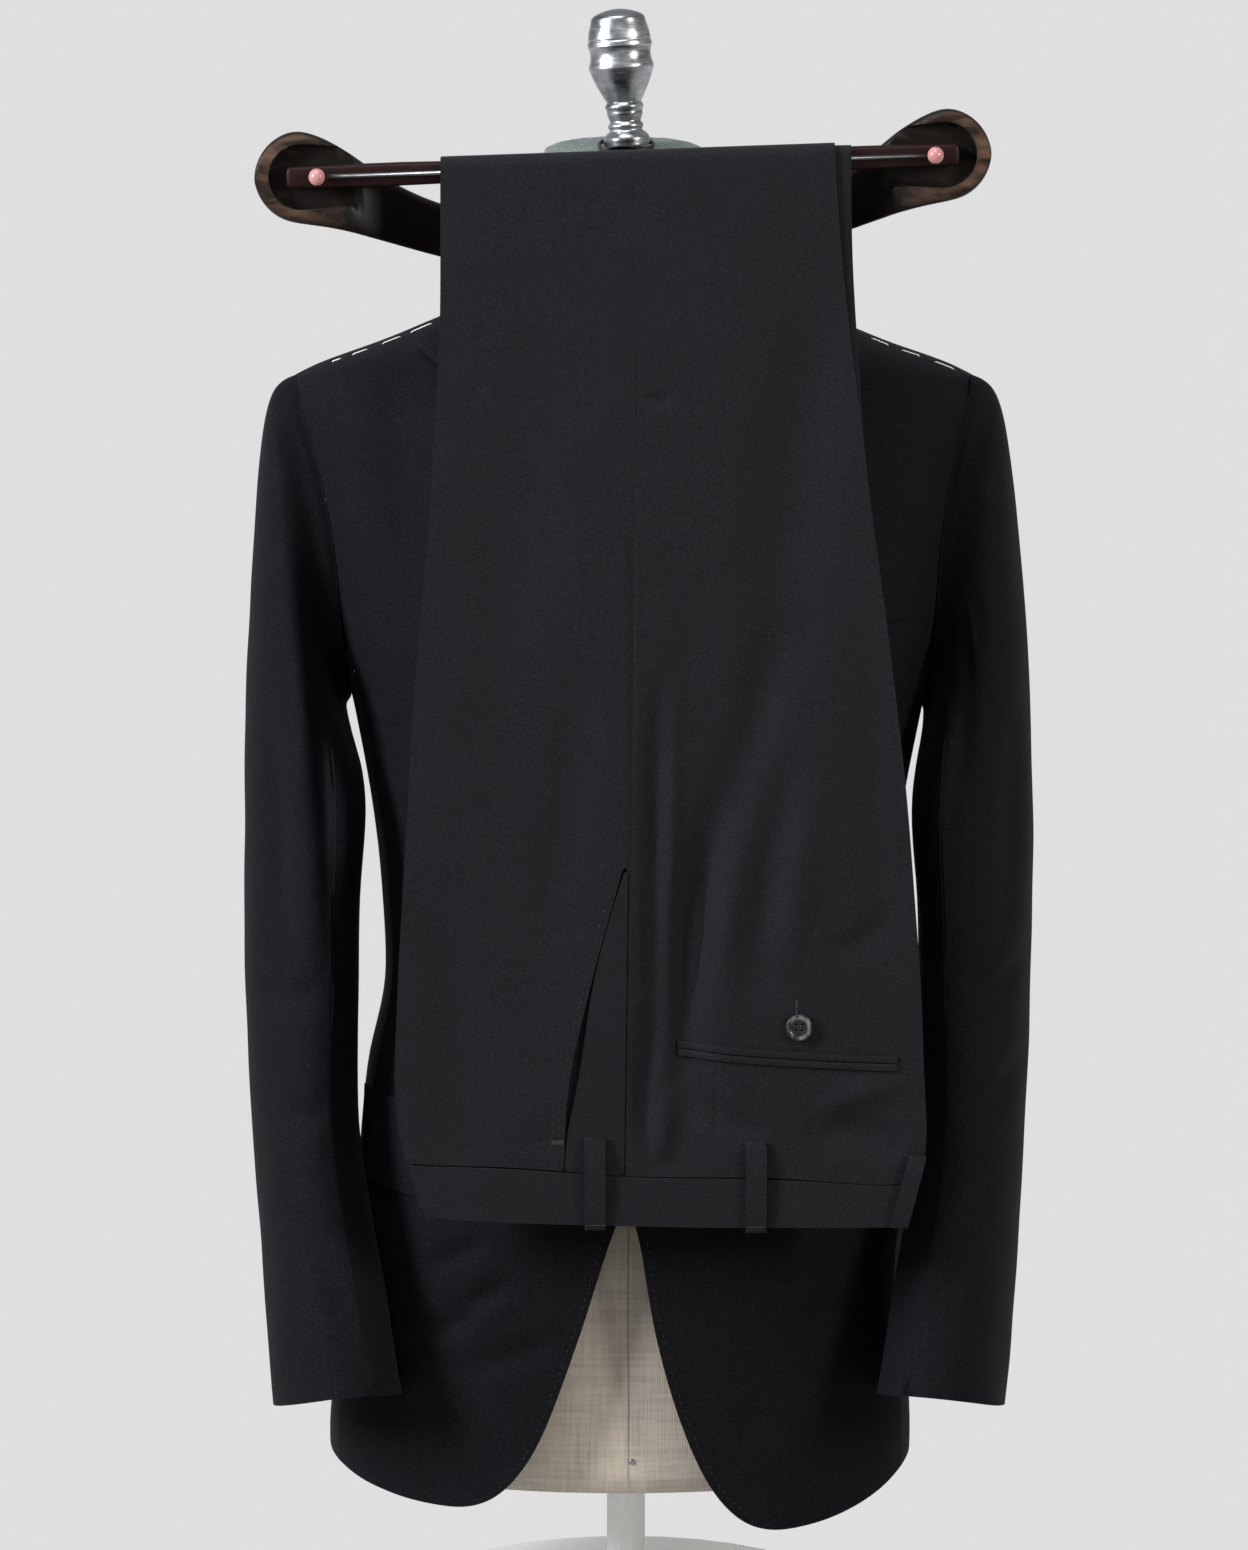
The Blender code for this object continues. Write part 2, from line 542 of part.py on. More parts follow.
def hem_z(side, turn):
    """Height of the hem round the body."""
    front = (LEFT_FRONT_EDGE if side > 0 else RIGHT_FRONT_EDGE)[0].z
    return mix(front, BACK_HEM_Z, ease(turn / SIDE_BACK_SEAM))


def body_levels(side):
    """Heights of the body's rows at the front edge; all panels of a side share them."""
    bottom = hem_z(side, 0.0)
    return [bottom + level for level in HEM_LEVELS] + list(BODY_LEVELS)


def row_z(side, level, turn):
    """Height of a row round the body: it follows the hem low down and evens out above it."""
    bottom = hem_z(side, 0.0)
    evening = max(0.0, 1 - (level - bottom) / HEM_CURVE_HEIGHT) ** 2
    return level + (hem_z(side, turn) - bottom) * evening


def front_rows(side):
    rows = []
    for level in body_levels(side):
        inner = turn_at(side, front_edge_x(side, level), level)
        outer_z = row_z(side, level, SIDE_FRONT_SEAM)
        outer = front_outer_turn(outer_z) - seam_turns(outer_z)
        row = []
        for share in spread(0.0, 1.0, 8):
            turn = mix(inner, outer, share)
            z = row_z(side, level, mix(0.0, SIDE_FRONT_SEAM, share))
            point = front_point(side, turn, z)
            row.append(front_point(side, turn, z, overlap_depth(side, point.x, z)))
        rows.append(row)
    return rows


def side_rows(side):
    """The side panel; its top row is the underarm part of the armhole."""
    def row_at(height_of, ease_in=1.0):
        row = []
        for turn in spread(SIDE_FRONT_SEAM, SIDE_BACK_SEAM, 4):
            z = height_of(turn)
            inset = seam_turns(z) * ease_in
            inside = min(max(turn, SIDE_FRONT_SEAM + inset), SIDE_BACK_SEAM - inset)
            row.append(ring_point(JACKET, side, inside, z))
        return row

    def underarm(turn):
        reach = ARMHOLE_FRONT if turn < 1 else ARMHOLE_BACK
        below = 0.0016 + 0.006 * abs(turn - 1) / 0.2
        return ARMHOLE_Z - ARMHOLE_HALF_HEIGHT * math.sqrt(1 - ((turn - 1) / reach) ** 2) - below

    low = [level for level in body_levels(side) if level < ARMHOLE_Z - ARMHOLE_HALF_HEIGHT]
    rows = [row_at(lambda turn, level=level: row_z(side, level, turn)) for level in low]
    rows.append(row_at(underarm, 3.0))
    return rows


def back_rows(side):
    rows = []
    for level in body_levels(side):
        z = row_z(side, level, SIDE_BACK_SEAM)
        outer = SIDE_BACK_SEAM
        if z >= SHOULDER_Z:
            outer = 1.0
        elif z > ARMHOLE_Z - ARMHOLE_HALF_HEIGHT:
            arm = 1 + armhole_turn(z, ARMHOLE_BACK)
            outer = arm if z > ARMHOLE_Z else max(SIDE_BACK_SEAM, arm)
        inset = seam_turns(z)
        rows.append([ring_point(JACKET, side, turn, z)
                     for turn in spread(outer + inset, 2.0 - inset, 5)])
    return rows


def jacket_body():
    for side, wearer in ((-1, "right"), (1, "left")):
        flip = side < 0
        wall(f"jacket_front_{wearer}", front_rows(side), CLOTH, "jacket_wool", flip)
        wall(f"jacket_side_{wearer}", side_rows(side), CLOTH, "jacket_wool", flip)
        wall(f"jacket_back_{wearer}", back_rows(side), CLOTH, "jacket_wool", flip)


def lapel_rows(side):
    """From the button up to the gorge: each row runs from the roll line to the lapel's edge."""
    start = OVERLAP_TOP + 0.012 if side > 0 else RIGHT_LAPEL_START
    notch_share = (NOTCH[0] - GORGE_START[0]) / (LAPEL_TIP[0] - GORGE_START[0])
    notch_drop = mix(GORGE_START[1], LAPEL_TIP[1], notch_share) - NOTCH[1]
    rows = []
    for share in spread(0.0, 1.0, 11):
        z_roll = mix(start, GORGE_START[1] - 0.0006, share)
        z_edge = mix(start, LAPEL_TIP[1], share)
        x_roll = roll_x(z_roll)
        x_edge = max(column(LAPEL_EDGE, "z", "x", z_edge), x_roll + 0.006)
        row = []
        for across, out in ((-0.0015, 0.0034), (0.0, 0.0056), (0.23, 0.0058), (notch_share, 0.0052),
                            (0.75, 0.0046), (1.0, 0.0040)):
            if across < 0:
                x, z = x_roll + across, z_roll
            else:
                dip = 1 - abs(across - notch_share) / (1 - notch_share)
                x = mix(x_roll, x_edge, across)
                z = mix(z_roll, z_edge, across) - notch_drop * max(dip, 0.0) * share ** 4
            row.append(front_point(side, turn_at(side, side * x, z), z, out))
        rows.append(row)
    return rows


def on_jacket(side, x, z, out):
    return front_point(side, turn_at(side, side * x, z), z, out)


CollarRow = namedtuple(
    "CollarRow", "fold_x fold_y fold_z middle_turn middle_z middle_out edge_turn edge_z edge_out drop")
COLLAR = (
    # middle and edge are on the jacket, moved out; drop is the height of the stand inside
    CollarRow(0.0745, -0.0530, 0.8650, 0.560, 0.8400, 0.0120, 0.600, 0.8390, 0.0090, 0.005),
    CollarRow(0.0740, -0.0330, 0.8790, 0.740, 0.8580, 0.0140, 0.790, 0.8490, 0.0100, 0.006),
    CollarRow(0.0700, 0.0060, 0.8930, 1.000, 0.8650, 0.0150, 1.000, 0.8560, 0.0095, 0.021),
    CollarRow(0.0575, 0.0440, 0.9000, 1.380, 0.8680, 0.0145, 1.360, 0.8570, 0.0062, 0.026),
    CollarRow(0.0310, 0.0660, 0.9030, 1.700, 0.8685, 0.0155, 1.700, 0.8570, 0.0062, 0.028),
    CollarRow(0.0020, 0.0715, 0.9035, 2.000, 0.8685, 0.0155, 2.000, 0.8570, 0.0062, 0.028),
)
GORGE_RISE = 0.0018


def collar_sections(side):
    """Half the collar, from its front end to beside the centre back, as closed sections."""
    sections = [[
        on_jacket(side, GORGE_START[0] - 0.0005, GORGE_START[1] + 0.0022, 0.0014),
        on_jacket(side, GORGE_START[0] - 0.0018, GORGE_START[1] + 0.0026, 0.0042),
        on_jacket(side, GORGE_START[0], GORGE_START[1] + GORGE_RISE, 0.0070),
        on_jacket(side, NOTCH[0], NOTCH[1] + GORGE_RISE, 0.0072),
        on_jacket(side, COLLAR_TIP[0], COLLAR_TIP[1], 0.0066),
        on_jacket(side, COLLAR_TIP[0] - 0.0012, COLLAR_TIP[1], 0.0050),
        on_jacket(side, NOTCH[0], NOTCH[1] + GORGE_RISE, 0.0052),
    ]]
    numbers = list(range(len(COLLAR)))
    for place in spread(0.0, numbers[-1], 2 * numbers[-1]):
        row = CollarRow(*(smooth(numbers, list(values), place) for values in zip(*COLLAR)))
        fold = Vector((side * row.fold_x, row.fold_y, row.fold_z))
        middle = jacket_out(side, row.middle_turn, row.middle_z, row.middle_out)
        edge = jacket_out(side, row.edge_turn, row.edge_z, row.edge_out)
        outward = Vector((fold.x, fold.y - 0.006, 0.0)).normalized()
        sections.append([
            fold - outward * 0.0030 - Vector((0, 0, row.drop)),
            fold - outward * 0.0030 - Vector((0, 0, 0.0015)),
            fold, middle, edge,
            edge - outward * 0.0012 - Vector((0, 0, 0.0010)),
            middle - outward * 0.0010 - Vector((0, 0, 0.0030)),
        ])
    return sections


def collar():
    right, left = collar_sections(-1), collar_sections(1)
    skin("collar", right + left[-2::-1], "jacket_wool", closed=True, flip=True)


def patch_rows(side, turns, top_z, depth, slope, out, columns, levels=4):
    """A flat piece on the jacket, such as a flap: rows from its lower edge up."""
    rows = []
    for share in spread(0.0, 1.0, levels):
        row = []
        for across in spread(0.0, 1.0, columns):
            corner = 0.006 * max(0.0, 1 - share * 3) * (abs(2 * across - 1) ** 12)
            z = top_z + slope * (1 - across) - depth * (1 - share) + corner
            row.append(jacket_out(side, mix(turns[0], turns[1], across), z, out))
        rows.append(row)
    return rows


def jacket_trim():
    for side, wearer in ((-1, "right"), (1, "left")):
        flip = side < 0
        wall(f"lapel_{wearer}", lapel_rows(side), FACED_CLOTH, "jacket_wool", flip)
        flap_out = LAY_GAP + FACED_CLOTH
        wall(f"hip_flap_{wearer}",
             patch_rows(side, FLAP_TURNS, FLAP_TOP_Z, FLAP_DEPTH, FLAP_SLOPE, flap_out, 8),
             FACED_CLOTH, "jacket_wool", flip)
    welt = []
    for share in spread(0.0, 1.0, 2):
        row = []
        for across in spread(0.0, 1.0, 6):
            x = mix(WELT_X[0], WELT_X[1], across)
            z = mix(WELT_Z[0], WELT_Z[1], across) + WELT_DEPTH * share
            row.append(on_jacket(1, x, z, LAY_GAP + FACED_CLOTH))
        welt.append(row)
    wall("breast_welt", welt, FACED_CLOTH, "jacket_wool")


# Sleeves

def armhole_point(side, around):
    """Point of the armhole seam, around in degrees from the shoulder over the front."""
    angle = math.radians(around)
    reach = ARMHOLE_FRONT if math.sin(angle) >= 0 else ARMHOLE_BACK
    turn = 1 - reach * math.sin(angle)
    z = ARMHOLE_Z + ARMHOLE_HALF_HEIGHT * math.cos(angle)
    return ring_point(JACKET, side, turn, min(z, SHOULDER_Z))


def four_point_ring(outer, front, inner, back, around):
    """A smooth ring through four points, around in degrees from the outer one over the front."""
    cosine, sine = math.cos(math.radians(around)), math.sin(math.radians(around))
    middle = (outer + inner) / 2
    return (middle + (outer - inner) / 2 * cosine
            + ((front + back) / 2 - middle) * sine * sine + (front - back) / 2 * sine)


def clear_of_body(point, clearance):
    """Move a point outwards, level, until it is clear of the jacket's body."""
    if point.z >= SHOULDER_Z - 0.010:
        return point
    centre = column(JACKET, "z", "centre", point.z)
    ridge = column(JACKET, "z", "ridge", point.z)
    power = column(JACKET, "z", "power", point.z)
    half = column(JACKET, "z", "half", point.z)
    reach = abs(column(JACKET, "z", "front" if point.y < ridge else "back", point.z) - ridge)
    across, along = abs(point.x - centre) / half, abs(point.y - ridge) / reach
    size = (across ** (2 / power) + along ** (2 / power)) ** (power / 2)
    wanted = 1 + clearance / half
    if size >= wanted:
        return point
    grow = wanted / size
    return Vector((centre + (point.x - centre) * grow, ridge + (point.y - ridge) * grow, point.z))


def sleeve_line(value, row):
    """Read a column of the sleeve table at a row number, smoothly."""
    return smooth(list(range(len(SLEEVE))), [getattr(entry, value) for entry in SLEEVE], row)


def sleeve_point(side, row, around):
    """Point of a sleeve's outer face; row -1 is the armhole seam and the last row the cuff."""
    seam = [armhole_point(side, a) for a in (0, 90, 180, 270)]
    first = max(row, 0.0)
    centre = sleeve_line("centre", first)

    def place(x, y, z):
        return Vector((centre + side * x, y, z))

    guides = [
        place(*(sleeve_line(name, first) for name in ("outer", "outer_y", "outer_z"))),
        place(*(sleeve_line(name, first) for name in ("middle_x", "front_y", "middle_z"))),
        place(*(sleeve_line(name, first) for name in ("inner", "inner_y", "inner_z"))),
        place(*(sleeve_line(name, first) for name in ("middle_x", "back_y", "middle_z"))),
    ]
    tilt = CUFF_TILT * ease((first - TILT_FROM_ROW) / (len(SLEEVE) - 1 - TILT_FROM_ROW))
    middle_y = (guides[1].y + guides[3].y) / 2
    for guide in guides:
        guide.z += tilt * (middle_y - guide.y)
    if row < 0:
        guides = [a.lerp(b, row + 1) for a, b in zip(seam, guides)]
    point = four_point_ring(*guides, around)
    seam_shift = armhole_point(side, around) - four_point_ring(*seam, around)
    fade = max(0.0, 1 - (row + 1) / CAP_ROWS) ** 2
    clearance = mix(SEAM_CLEARANCE, BODY_CLEARANCE, ease((row + 1) / 1.3))
    return clear_of_body(point + seam_shift * fade, clearance)


SLEEVE_ROWS = (-0.90, -0.45, 0.1, 0.8, 1.6, 2.4, 3.2, 4.0, 5.0, 5.9, 6.7, 7.4, 8.1, 8.8, 9.5,
               10.2, 11.0)


def sleeve_rows(side, start, end, count):
    gap = math.degrees(SEAM_GAP / 2 / 0.050)
    return [[sleeve_point(side, row, around) for around in spread(start + gap, end - gap, count)]
            for row in SLEEVE_ROWS]


def sleeves():
    for side, wearer in ((-1, "right"), (1, "left")):
        flip = side > 0
        wall(f"sleeve_top_{wearer}", sleeve_rows(side, HINDARM_SEAM - 360, FOREARM_SEAM, 13),
             CLOTH, "jacket_wool", flip)
        wall(f"sleeve_under_{wearer}", sleeve_rows(side, FOREARM_SEAM, HINDARM_SEAM, 8),
             CLOTH, "jacket_wool", flip)


# Buttons

def button(name, place, facing, radius):
    """A four-hole button: a turned disc with a sunk middle, its face along facing."""
    profile = [(share * radius, height * BUTTON_THICKNESS) for share, height in BUTTON_PROFILE]
    item = turned(name, profile, BUTTON_SIDES, "horn")
    turn = Vector((0, 0, 1)).rotation_difference(Vector(facing).normalized()).to_matrix().to_4x4()
    turn.translation = Vector(place)
    item.matrix_world = turn
    for number in range(4):
        angle = math.pi / 4 + number * math.pi / 2
        work = bmesh.new()
        bmesh.ops.create_cone(work, cap_ends=True, segments=4, radius1=radius * HOLE_SHARE,
                              radius2=radius * HOLE_SHARE, depth=BUTTON_THICKNESS * 3)
        mesh = bpy.data.meshes.new(f"{name}_hole_{number}")
        work.to_mesh(mesh)
        work.free()
        tool = cutter(mesh.name, mesh, item)
        offset = Vector((math.cos(angle), math.sin(angle), 0.0)) * radius * HOLE_REACH
        tool.matrix_world = turn
        tool.location = turn @ offset


# Trousers: a path over the bar

ARCH_ANGLES = (4, 30, 62, 90, 118, 150, 176)
BACK_COLUMNS = 8
FRONT_COLUMNS = 5


def bar_top(x):
    """Height of the layers' inside over the bar, which leans with the hanger."""
    return BAR_TOP_Z - math.tan(HANGER_TILT) * (x - BAR_CENTRE[0])


def drape_y(z):
    """y of the outer face of the front panels, which hang a little inwards at the waist."""
    top = FRONT_INNER_Y - LAYER_TOP - LAY_GAP - TROUSER_CLOTH
    return mix(WAIST_Y - WAIST_TUCK, top, ease((z - LEG_FOOT_Z) / LEG_RISE))


Fold = namedtuple("Fold", "top_x bottom_x top_z bottom_z depth half_width")
FOLDS = (
    Fold(0.0395, 0.0330, 0.662, 0.398, 0.0034, 0.0150),
    Fold(0.0160, 0.0130, 0.425, 0.340, 0.0022, 0.0090),
    Fold(0.1150, 0.0720, 0.800, 0.560, 0.0020, 0.0260),
)
FOLD_RUNOUT = 0.3        # a fold fades over this share of its length past its ends


def fold_depth(x, z):
    """How far the soft folds push the front panels in at a place."""
    depth = 0.0
    for fold in FOLDS:
        share = (z - fold.bottom_z) / (fold.top_z - fold.bottom_z)
        below, above = share + FOLD_RUNOUT, 1 + FOLD_RUNOUT - share
        if below > 0 and above > 0:
            length = ease(2 * below) * ease(2 * above)
            centre = mix(fold.bottom_x, fold.top_x, min(max(share, 0.0), 1.0))
            depth += fold.depth * length * math.exp(-((x - centre) / fold.half_width) ** 2)
    return depth


FRONT_STATIONS = (0.352, 0.378, 0.405, 0.432, 0.460, 0.495, 0.532, 0.570, 0.610, 0.652, 0.697,
                  0.745, 0.795, 0.845, 0.890, 0.925)
BACK_STATIONS = (0.925, 0.860, 0.780, 0.690, 0.600)


def trouser_rows(left, right, columns, out):
    """Rows of a panel from the waist seam over the bar to the hem behind.

    left and right give x by height, or at the hem for None; out is the panel's outer face from
    the inside of the layers where they pass over the bar.
    """
    shares = spread(0.0, 1.0, columns)
    rows = []
    bottoms = []
    for share in shares:
        x = mix(left(0.333), right(0.333), share)
        seam_z = column(WAISTBAND, "x", "seam", x) + SEAM_GAP
        x = mix(left(seam_z), right(seam_z), share)
        bottoms.append(Vector((x, drape_y(seam_z) + fold_depth(x, seam_z), seam_z)))
    rows.append(bottoms)
    for z in FRONT_STATIONS:
        places = [mix(left(z), right(z), share) for share in shares]
        rows.append([Vector((x, drape_y(z) + fold_depth(x, z), z)) for x in places])
    middle = (BACK_INNER_Y + FRONT_INNER_Y) / 2
    half = (BACK_INNER_Y - FRONT_INNER_Y) / 2
    places = [mix(left(ARCH_FOOT_Z), right(ARCH_FOOT_Z), share) for share in shares]
    for degrees in ARCH_ANGLES:
        angle = math.radians(degrees)
        y = middle - (half + out) * math.cos(angle)
        rise = (ARCH_RISE + out) * math.sin(angle) - ARCH_RISE
        rows.append([Vector((x, y, bar_top(x) + rise)) for x in places])
    for z in BACK_STATIONS + (HEM_Z,):
        down = (ARCH_FOOT_Z - z) / (ARCH_FOOT_Z - HEM_Z)
        low = mix(left(ARCH_FOOT_Z), left(None), down)
        high = mix(right(ARCH_FOOT_Z), right(None), down)
        rows.append([Vector((mix(low, high, share), BACK_INNER_Y + out, z)) for share in shares])
    return rows


def outline(name, hem):
    """An edge's x by height, and at the hem for None."""
    return lambda z: hem if z is None else column(TROUSER_FRONT, "z", name, z)


def seam_side(offset):
    """The side seam's x by height, moved by half a gap to one side."""
    return lambda z: (HEM_SEAM if z is None else column(TROUSER_FRONT, "z", "seam", z)) + offset


def front_panel_right(z):
    """Right edge of the front panel: the pocket's slant below, the side seam above."""
    if z is not None and z < SLANT[-1].z:
        return column(SLANT, "z", "x", z)
    return seam_side(-SEAM_GAP / 2)(z)


def trouser_panels():
    outer = LAYER_TOP + LAY_GAP + TROUSER_CLOTH
    front = trouser_rows(outline("left", HEM_LEFT), front_panel_right, FRONT_COLUMNS, outer)
    lifted = []
    for row in front:
        new_row = []
        for index, point in enumerate(row):
            near = 1.0 if index == FRONT_COLUMNS else 0.3 if index == FRONT_COLUMNS - 1 else 0.0
            gape = ease((point.z - GAPE_BOTTOM) / 0.03) * ease((GAPE_TOP - point.z) / 0.04)
            in_front = point.y < FRONT_INNER_Y
            lift = GAPE_LIFT * near * gape if in_front else 0.0
            new_row.append(point - Vector((0, lift, 0)))
        lifted.append(new_row)
    wall("trouser_front", lifted, TROUSER_CLOTH, "trouser_wool")
    back = trouser_rows(seam_side(SEAM_GAP / 2), outline("right", HEM_RIGHT), BACK_COLUMNS, outer)
    wall("trouser_back", back, TROUSER_CLOTH, "trouser_wool")


def pocket_facing():
    """The piece that shows inside the slant pocket, from the pocket's edge to the side seam."""
    rows = []
    for z in (None,) + tuple(z for z in FRONT_STATIONS if z < FACING_TOP) + (FACING_TOP,):
        row = []
        for share in spread(0.0, 1.0, 3):
            level = FACING_FOOT if z is None else z
            gape = GAPE_WIDTH * ease((level - GAPE_BOTTOM) / 0.03) * ease((GAPE_TOP - level) / 0.05)
            low = column(SLANT, "z", "x", level) + 0.0006 + gape
            high = column(TROUSER_FRONT, "z", "seam", level) - SEAM_GAP / 2
            x = mix(low, high, share)
            height = column(WAISTBAND, "x", "seam", x) + SEAM_GAP if z is None else z
            row.append(Vector((x, drape_y(height) + fold_depth(x, height) + 0.0001, height)))
        rows.append(row)
    wall("pocket_facing", rows, TROUSER_CLOTH, "trouser_wool")


def trouser_layers():
    """The hidden layers: the inner half of the near leg and the whole far leg, as one solid."""
    low_edge = outline("left", HEM_LEFT)
    seam_line = outline("seam", HEM_SEAM)
    panel_edge = outline("right", HEM_RIGHT)
    high_edge = outline("layer_right", HEM_RIGHT + 0.004)
    ends = ((0.0, 0.0005), (0.30, 0.0), (0.50, LAYER_GROOVE), (0.70, 0.0), (1.0, 0.0005))

    def edge_at(edge, z):
        """An edge's x at a height in front, or at a share of the way down behind."""
        if z >= 0:
            return edge(z)
        return mix(edge(ARCH_FOOT_Z), edge(None), -z)

    def section(z, near, far, low_in=0.0, high_in=0.0):
        """near and far give the points of the outer and inner face by x."""
        low = edge_at(low_edge, z) + LAYER_INSET + low_in
        high = edge_at(high_edge, z) - LAYER_INSET - high_in
        ring = [near(low + notch).lerp(far(low + notch), share) for share, notch in reversed(ends)]
        seam, panel = edge_at(seam_line, z), edge_at(panel_edge, z)
        last = min(panel, high)
        ring += [near(mix(seam, last, number / BACK_COLUMNS)) for number in range(BACK_COLUMNS - 1)]
        ring += [near(high - notch).lerp(far(high - notch), share) for share, notch in ends]
        return ring

    rows = []
    for z in LAYER_FOOT + FRONT_STATIONS:
        bulk = column(TROUSER_FRONT, "z", "bulk", z)
        near_y = drape_y(z) + TROUSER_CLOTH + LAY_GAP + (0.0012 if z < 0.34 else 0.0)

        def near(x, z=z, y=near_y):
            return Vector((x, y + fold_depth(x, z), z))

        def far(x, z=z, y=near_y + bulk):
            return Vector((x, y, z))

        tuck = 1.0 if z == LAYER_FOOT[0] else 0.0
        rows.append(section(z, near, far, 0.008 * tuck, 0.012 * tuck))
    middle = (BACK_INNER_Y + FRONT_INNER_Y) / 2
    half = (BACK_INNER_Y - FRONT_INNER_Y) / 2
    for angle in ARCH_ANGLES:
        def at(out, angle=math.radians(angle)):
            return lambda x: Vector((x, middle - (half + out) * math.cos(angle),
                                     bar_top(x) + (ARCH_RISE + out) * math.sin(angle) - ARCH_RISE))
        rows.append(section(ARCH_FOOT_Z, at(LAYER_TOP), at(0.0)))
    for z in BACK_STATIONS + (HEM_Z,):
        down = (ARCH_FOOT_Z - z) / (ARCH_FOOT_Z - HEM_Z)
        rows.append(section(-down, lambda x, z=z: Vector((x, BACK_INNER_Y + LAYER_TOP, z)),
                            lambda x, z=z: Vector((x, BACK_INNER_Y, z))))
    skin("trouser_layers", rows, "trouser_wool", closed=True)


def waistband():
    rows = []
    for share in (0.0, 0.5, 1.0):
        row = []
        for number, entry in enumerate(WAISTBAND):
            slant = BAND_LEFT_SLANT * (1 - share) if number == 0 else 0.0
            tuck = -0.012 * (1 - share) if number == len(WAISTBAND) - 1 else 0.0
            z = mix(entry.lower, entry.seam - SEAM_GAP / 2, share)
            row.append(Vector((entry.x + slant + tuck, drape_y(z) - BAND_PROUD, z)))
        rows.append(row)
    wall("waistband", rows, BAND_THICKNESS, "trouser_wool")


def belt_loops():
    for loop in BELT_LOOPS:
        rows = []
        for share in (0.0, 0.10, 0.25, 0.5, 0.75, 0.90, 1.0):
            stand = LOOP_STAND * ease(min(share, 1 - share) / 0.22)
            x = mix(loop.bottom_x, loop.top_x, share)
            z = mix(loop.bottom_z, loop.top_z, share)
            y = drape_y(z) - BAND_PROUD - LAY_GAP - LOOP_THICKNESS - stand
            rows.append([Vector((x + loop.width * edge, y, z)) for edge in (-0.5, 0.0, 0.5)])
        wall(loop.name, rows, LOOP_THICKNESS, "trouser_wool")


def back_pocket():
    for name, low, high in (("back_pocket_welt_upper", 0.0003, WELT_HEIGHT),
                            ("back_pocket_welt_lower", -WELT_HEIGHT, -0.0003)):
        rows = []
        for rise in (low, (low + high) / 2, high):
            crown = 0.0004 if rise == (low + high) / 2 else 0.0
            row = []
            for across in spread(0.0, 1.0, 10):
                x = mix(WELT_LEFT_X, WELT_RIGHT_X, across)
                sag = -WELT_SAG * math.sin(math.pi * across)
                z = mix(WELT_LEFT_Z, WELT_RIGHT_Z, across) + rise + sag
                y = drape_y(z) + WELT_FOLLOW * fold_depth(x, z) - LAY_GAP - WELT_LIFT - crown
                row.append(Vector((x, y, z)))
            rows.append(row)
        wall(name, rows, WELT_THICKNESS, "trouser_wool")
    x, z = POCKET_BUTTON
    surface = drape_y(z)
    button("back_pocket_button", (x, surface - 0.0010, z), (0, -1, 0.03), POCKET_BUTTON_RADIUS)


# Dress form and stand

def dress_form():
    rows = []
    heights = [row.z for row in FORM]
    levels = sorted(heights + [0.370, 0.560])
    for z in levels:
        row = []
        lift = NECK_TILT * ease((z - NECK_TILT_FROM) / (FORM[-1].z - NECK_TILT_FROM))
        for turn in spread(0.0, 2.0, 10):
            row.append((1, turn))
        for turn in reversed(spread(0.0, 2.0, 10)[1:-1]):
            row.append((-1, turn))
        ring = []
        for side, turn in row:
            point = ring_point(FORM, side, turn, z)
            ring.append(Vector((point.x, point.y, z + lift * point.y)))
        rows.append(ring)
    skin("dress_form", rows, "linen", closed=True)


def neck_plate():
    item = drum("neck_plate", 1.0, 1.0, PLATE_SIDES, "speckled_board")
    item.data.transform(Matrix.Diagonal((PLATE_HALF[0], PLATE_HALF[1], PLATE_THICKNESS, 1.0)))
    item.rotation_euler = (math.atan(NECK_TILT), 0.0, 0.0)
    top = PLATE_Z + NECK_TILT * PLATE_CENTRE[1]
    item.location = (PLATE_CENTRE[0], PLATE_CENTRE[1], top - PLATE_THICKNESS / 2)
    bevel_edges(item, PLATE_BEVEL)


def neck_knob():
    profile = [(0.0, KNOB[0].height)] + [(turn.radius, turn.height) for turn in KNOB]
    item = turned("neck_knob", profile, KNOB_SIDES, "cast_metal")
    item.rotation_euler = (0.0, KNOB_LEAN, 0.0)
    item.location = (KNOB_X, 0.0, PLATE_Z + KNOB_LIFT)


def drum(name, radius, height, sides, finish):
    """A plain round slab, centred on the origin."""
    work = bmesh.new()
    bmesh.ops.create_cone(work, cap_ends=True, segments=sides, radius1=radius, radius2=radius, depth=height)
    mesh = bpy.data.meshes.new(name)
    work.to_mesh(mesh)
    work.free()
    return new_object(name, mesh, finish)


def bevel_edges(item, width, segments=1):
    edge = item.modifiers.new("edge", "BEVEL")
    edge.width = width
    edge.segments = segments
    edge.limit_method = "ANGLE"


def stand():
    base = drum("stand_base", BASE_RADIUS, BASE_HEIGHT, BASE_SIDES, "stand_paint")
    base.location = (0.0, 0.0, BASE_HEIGHT / 2)
    bevel_edges(base, BASE_BEVEL)
    low = BASE_HEIGHT + FIT_GAP
    high = FORM_FOOT_Z - FIT_GAP
    stem = drum("stand_stem", STEM_RADIUS, high - low, STEM_SIDES, "stand_paint")
    stem.location = (0.0, 0.0, (low + high) / 2)


# Hanger

def tilt_hanger(point):
    """Turn a point of the level hanger about its bar's middle."""
    x, z = point.x - BAR_CENTRE[0], point.z - BAR_CENTRE[2]
    cosine, sine = math.cos(HANGER_TILT), math.sin(HANGER_TILT)
    return Vector((BAR_CENTRE[0] + x * cosine + z * sine, point.y,
                   BAR_CENTRE[2] - x * sine + z * cosine))


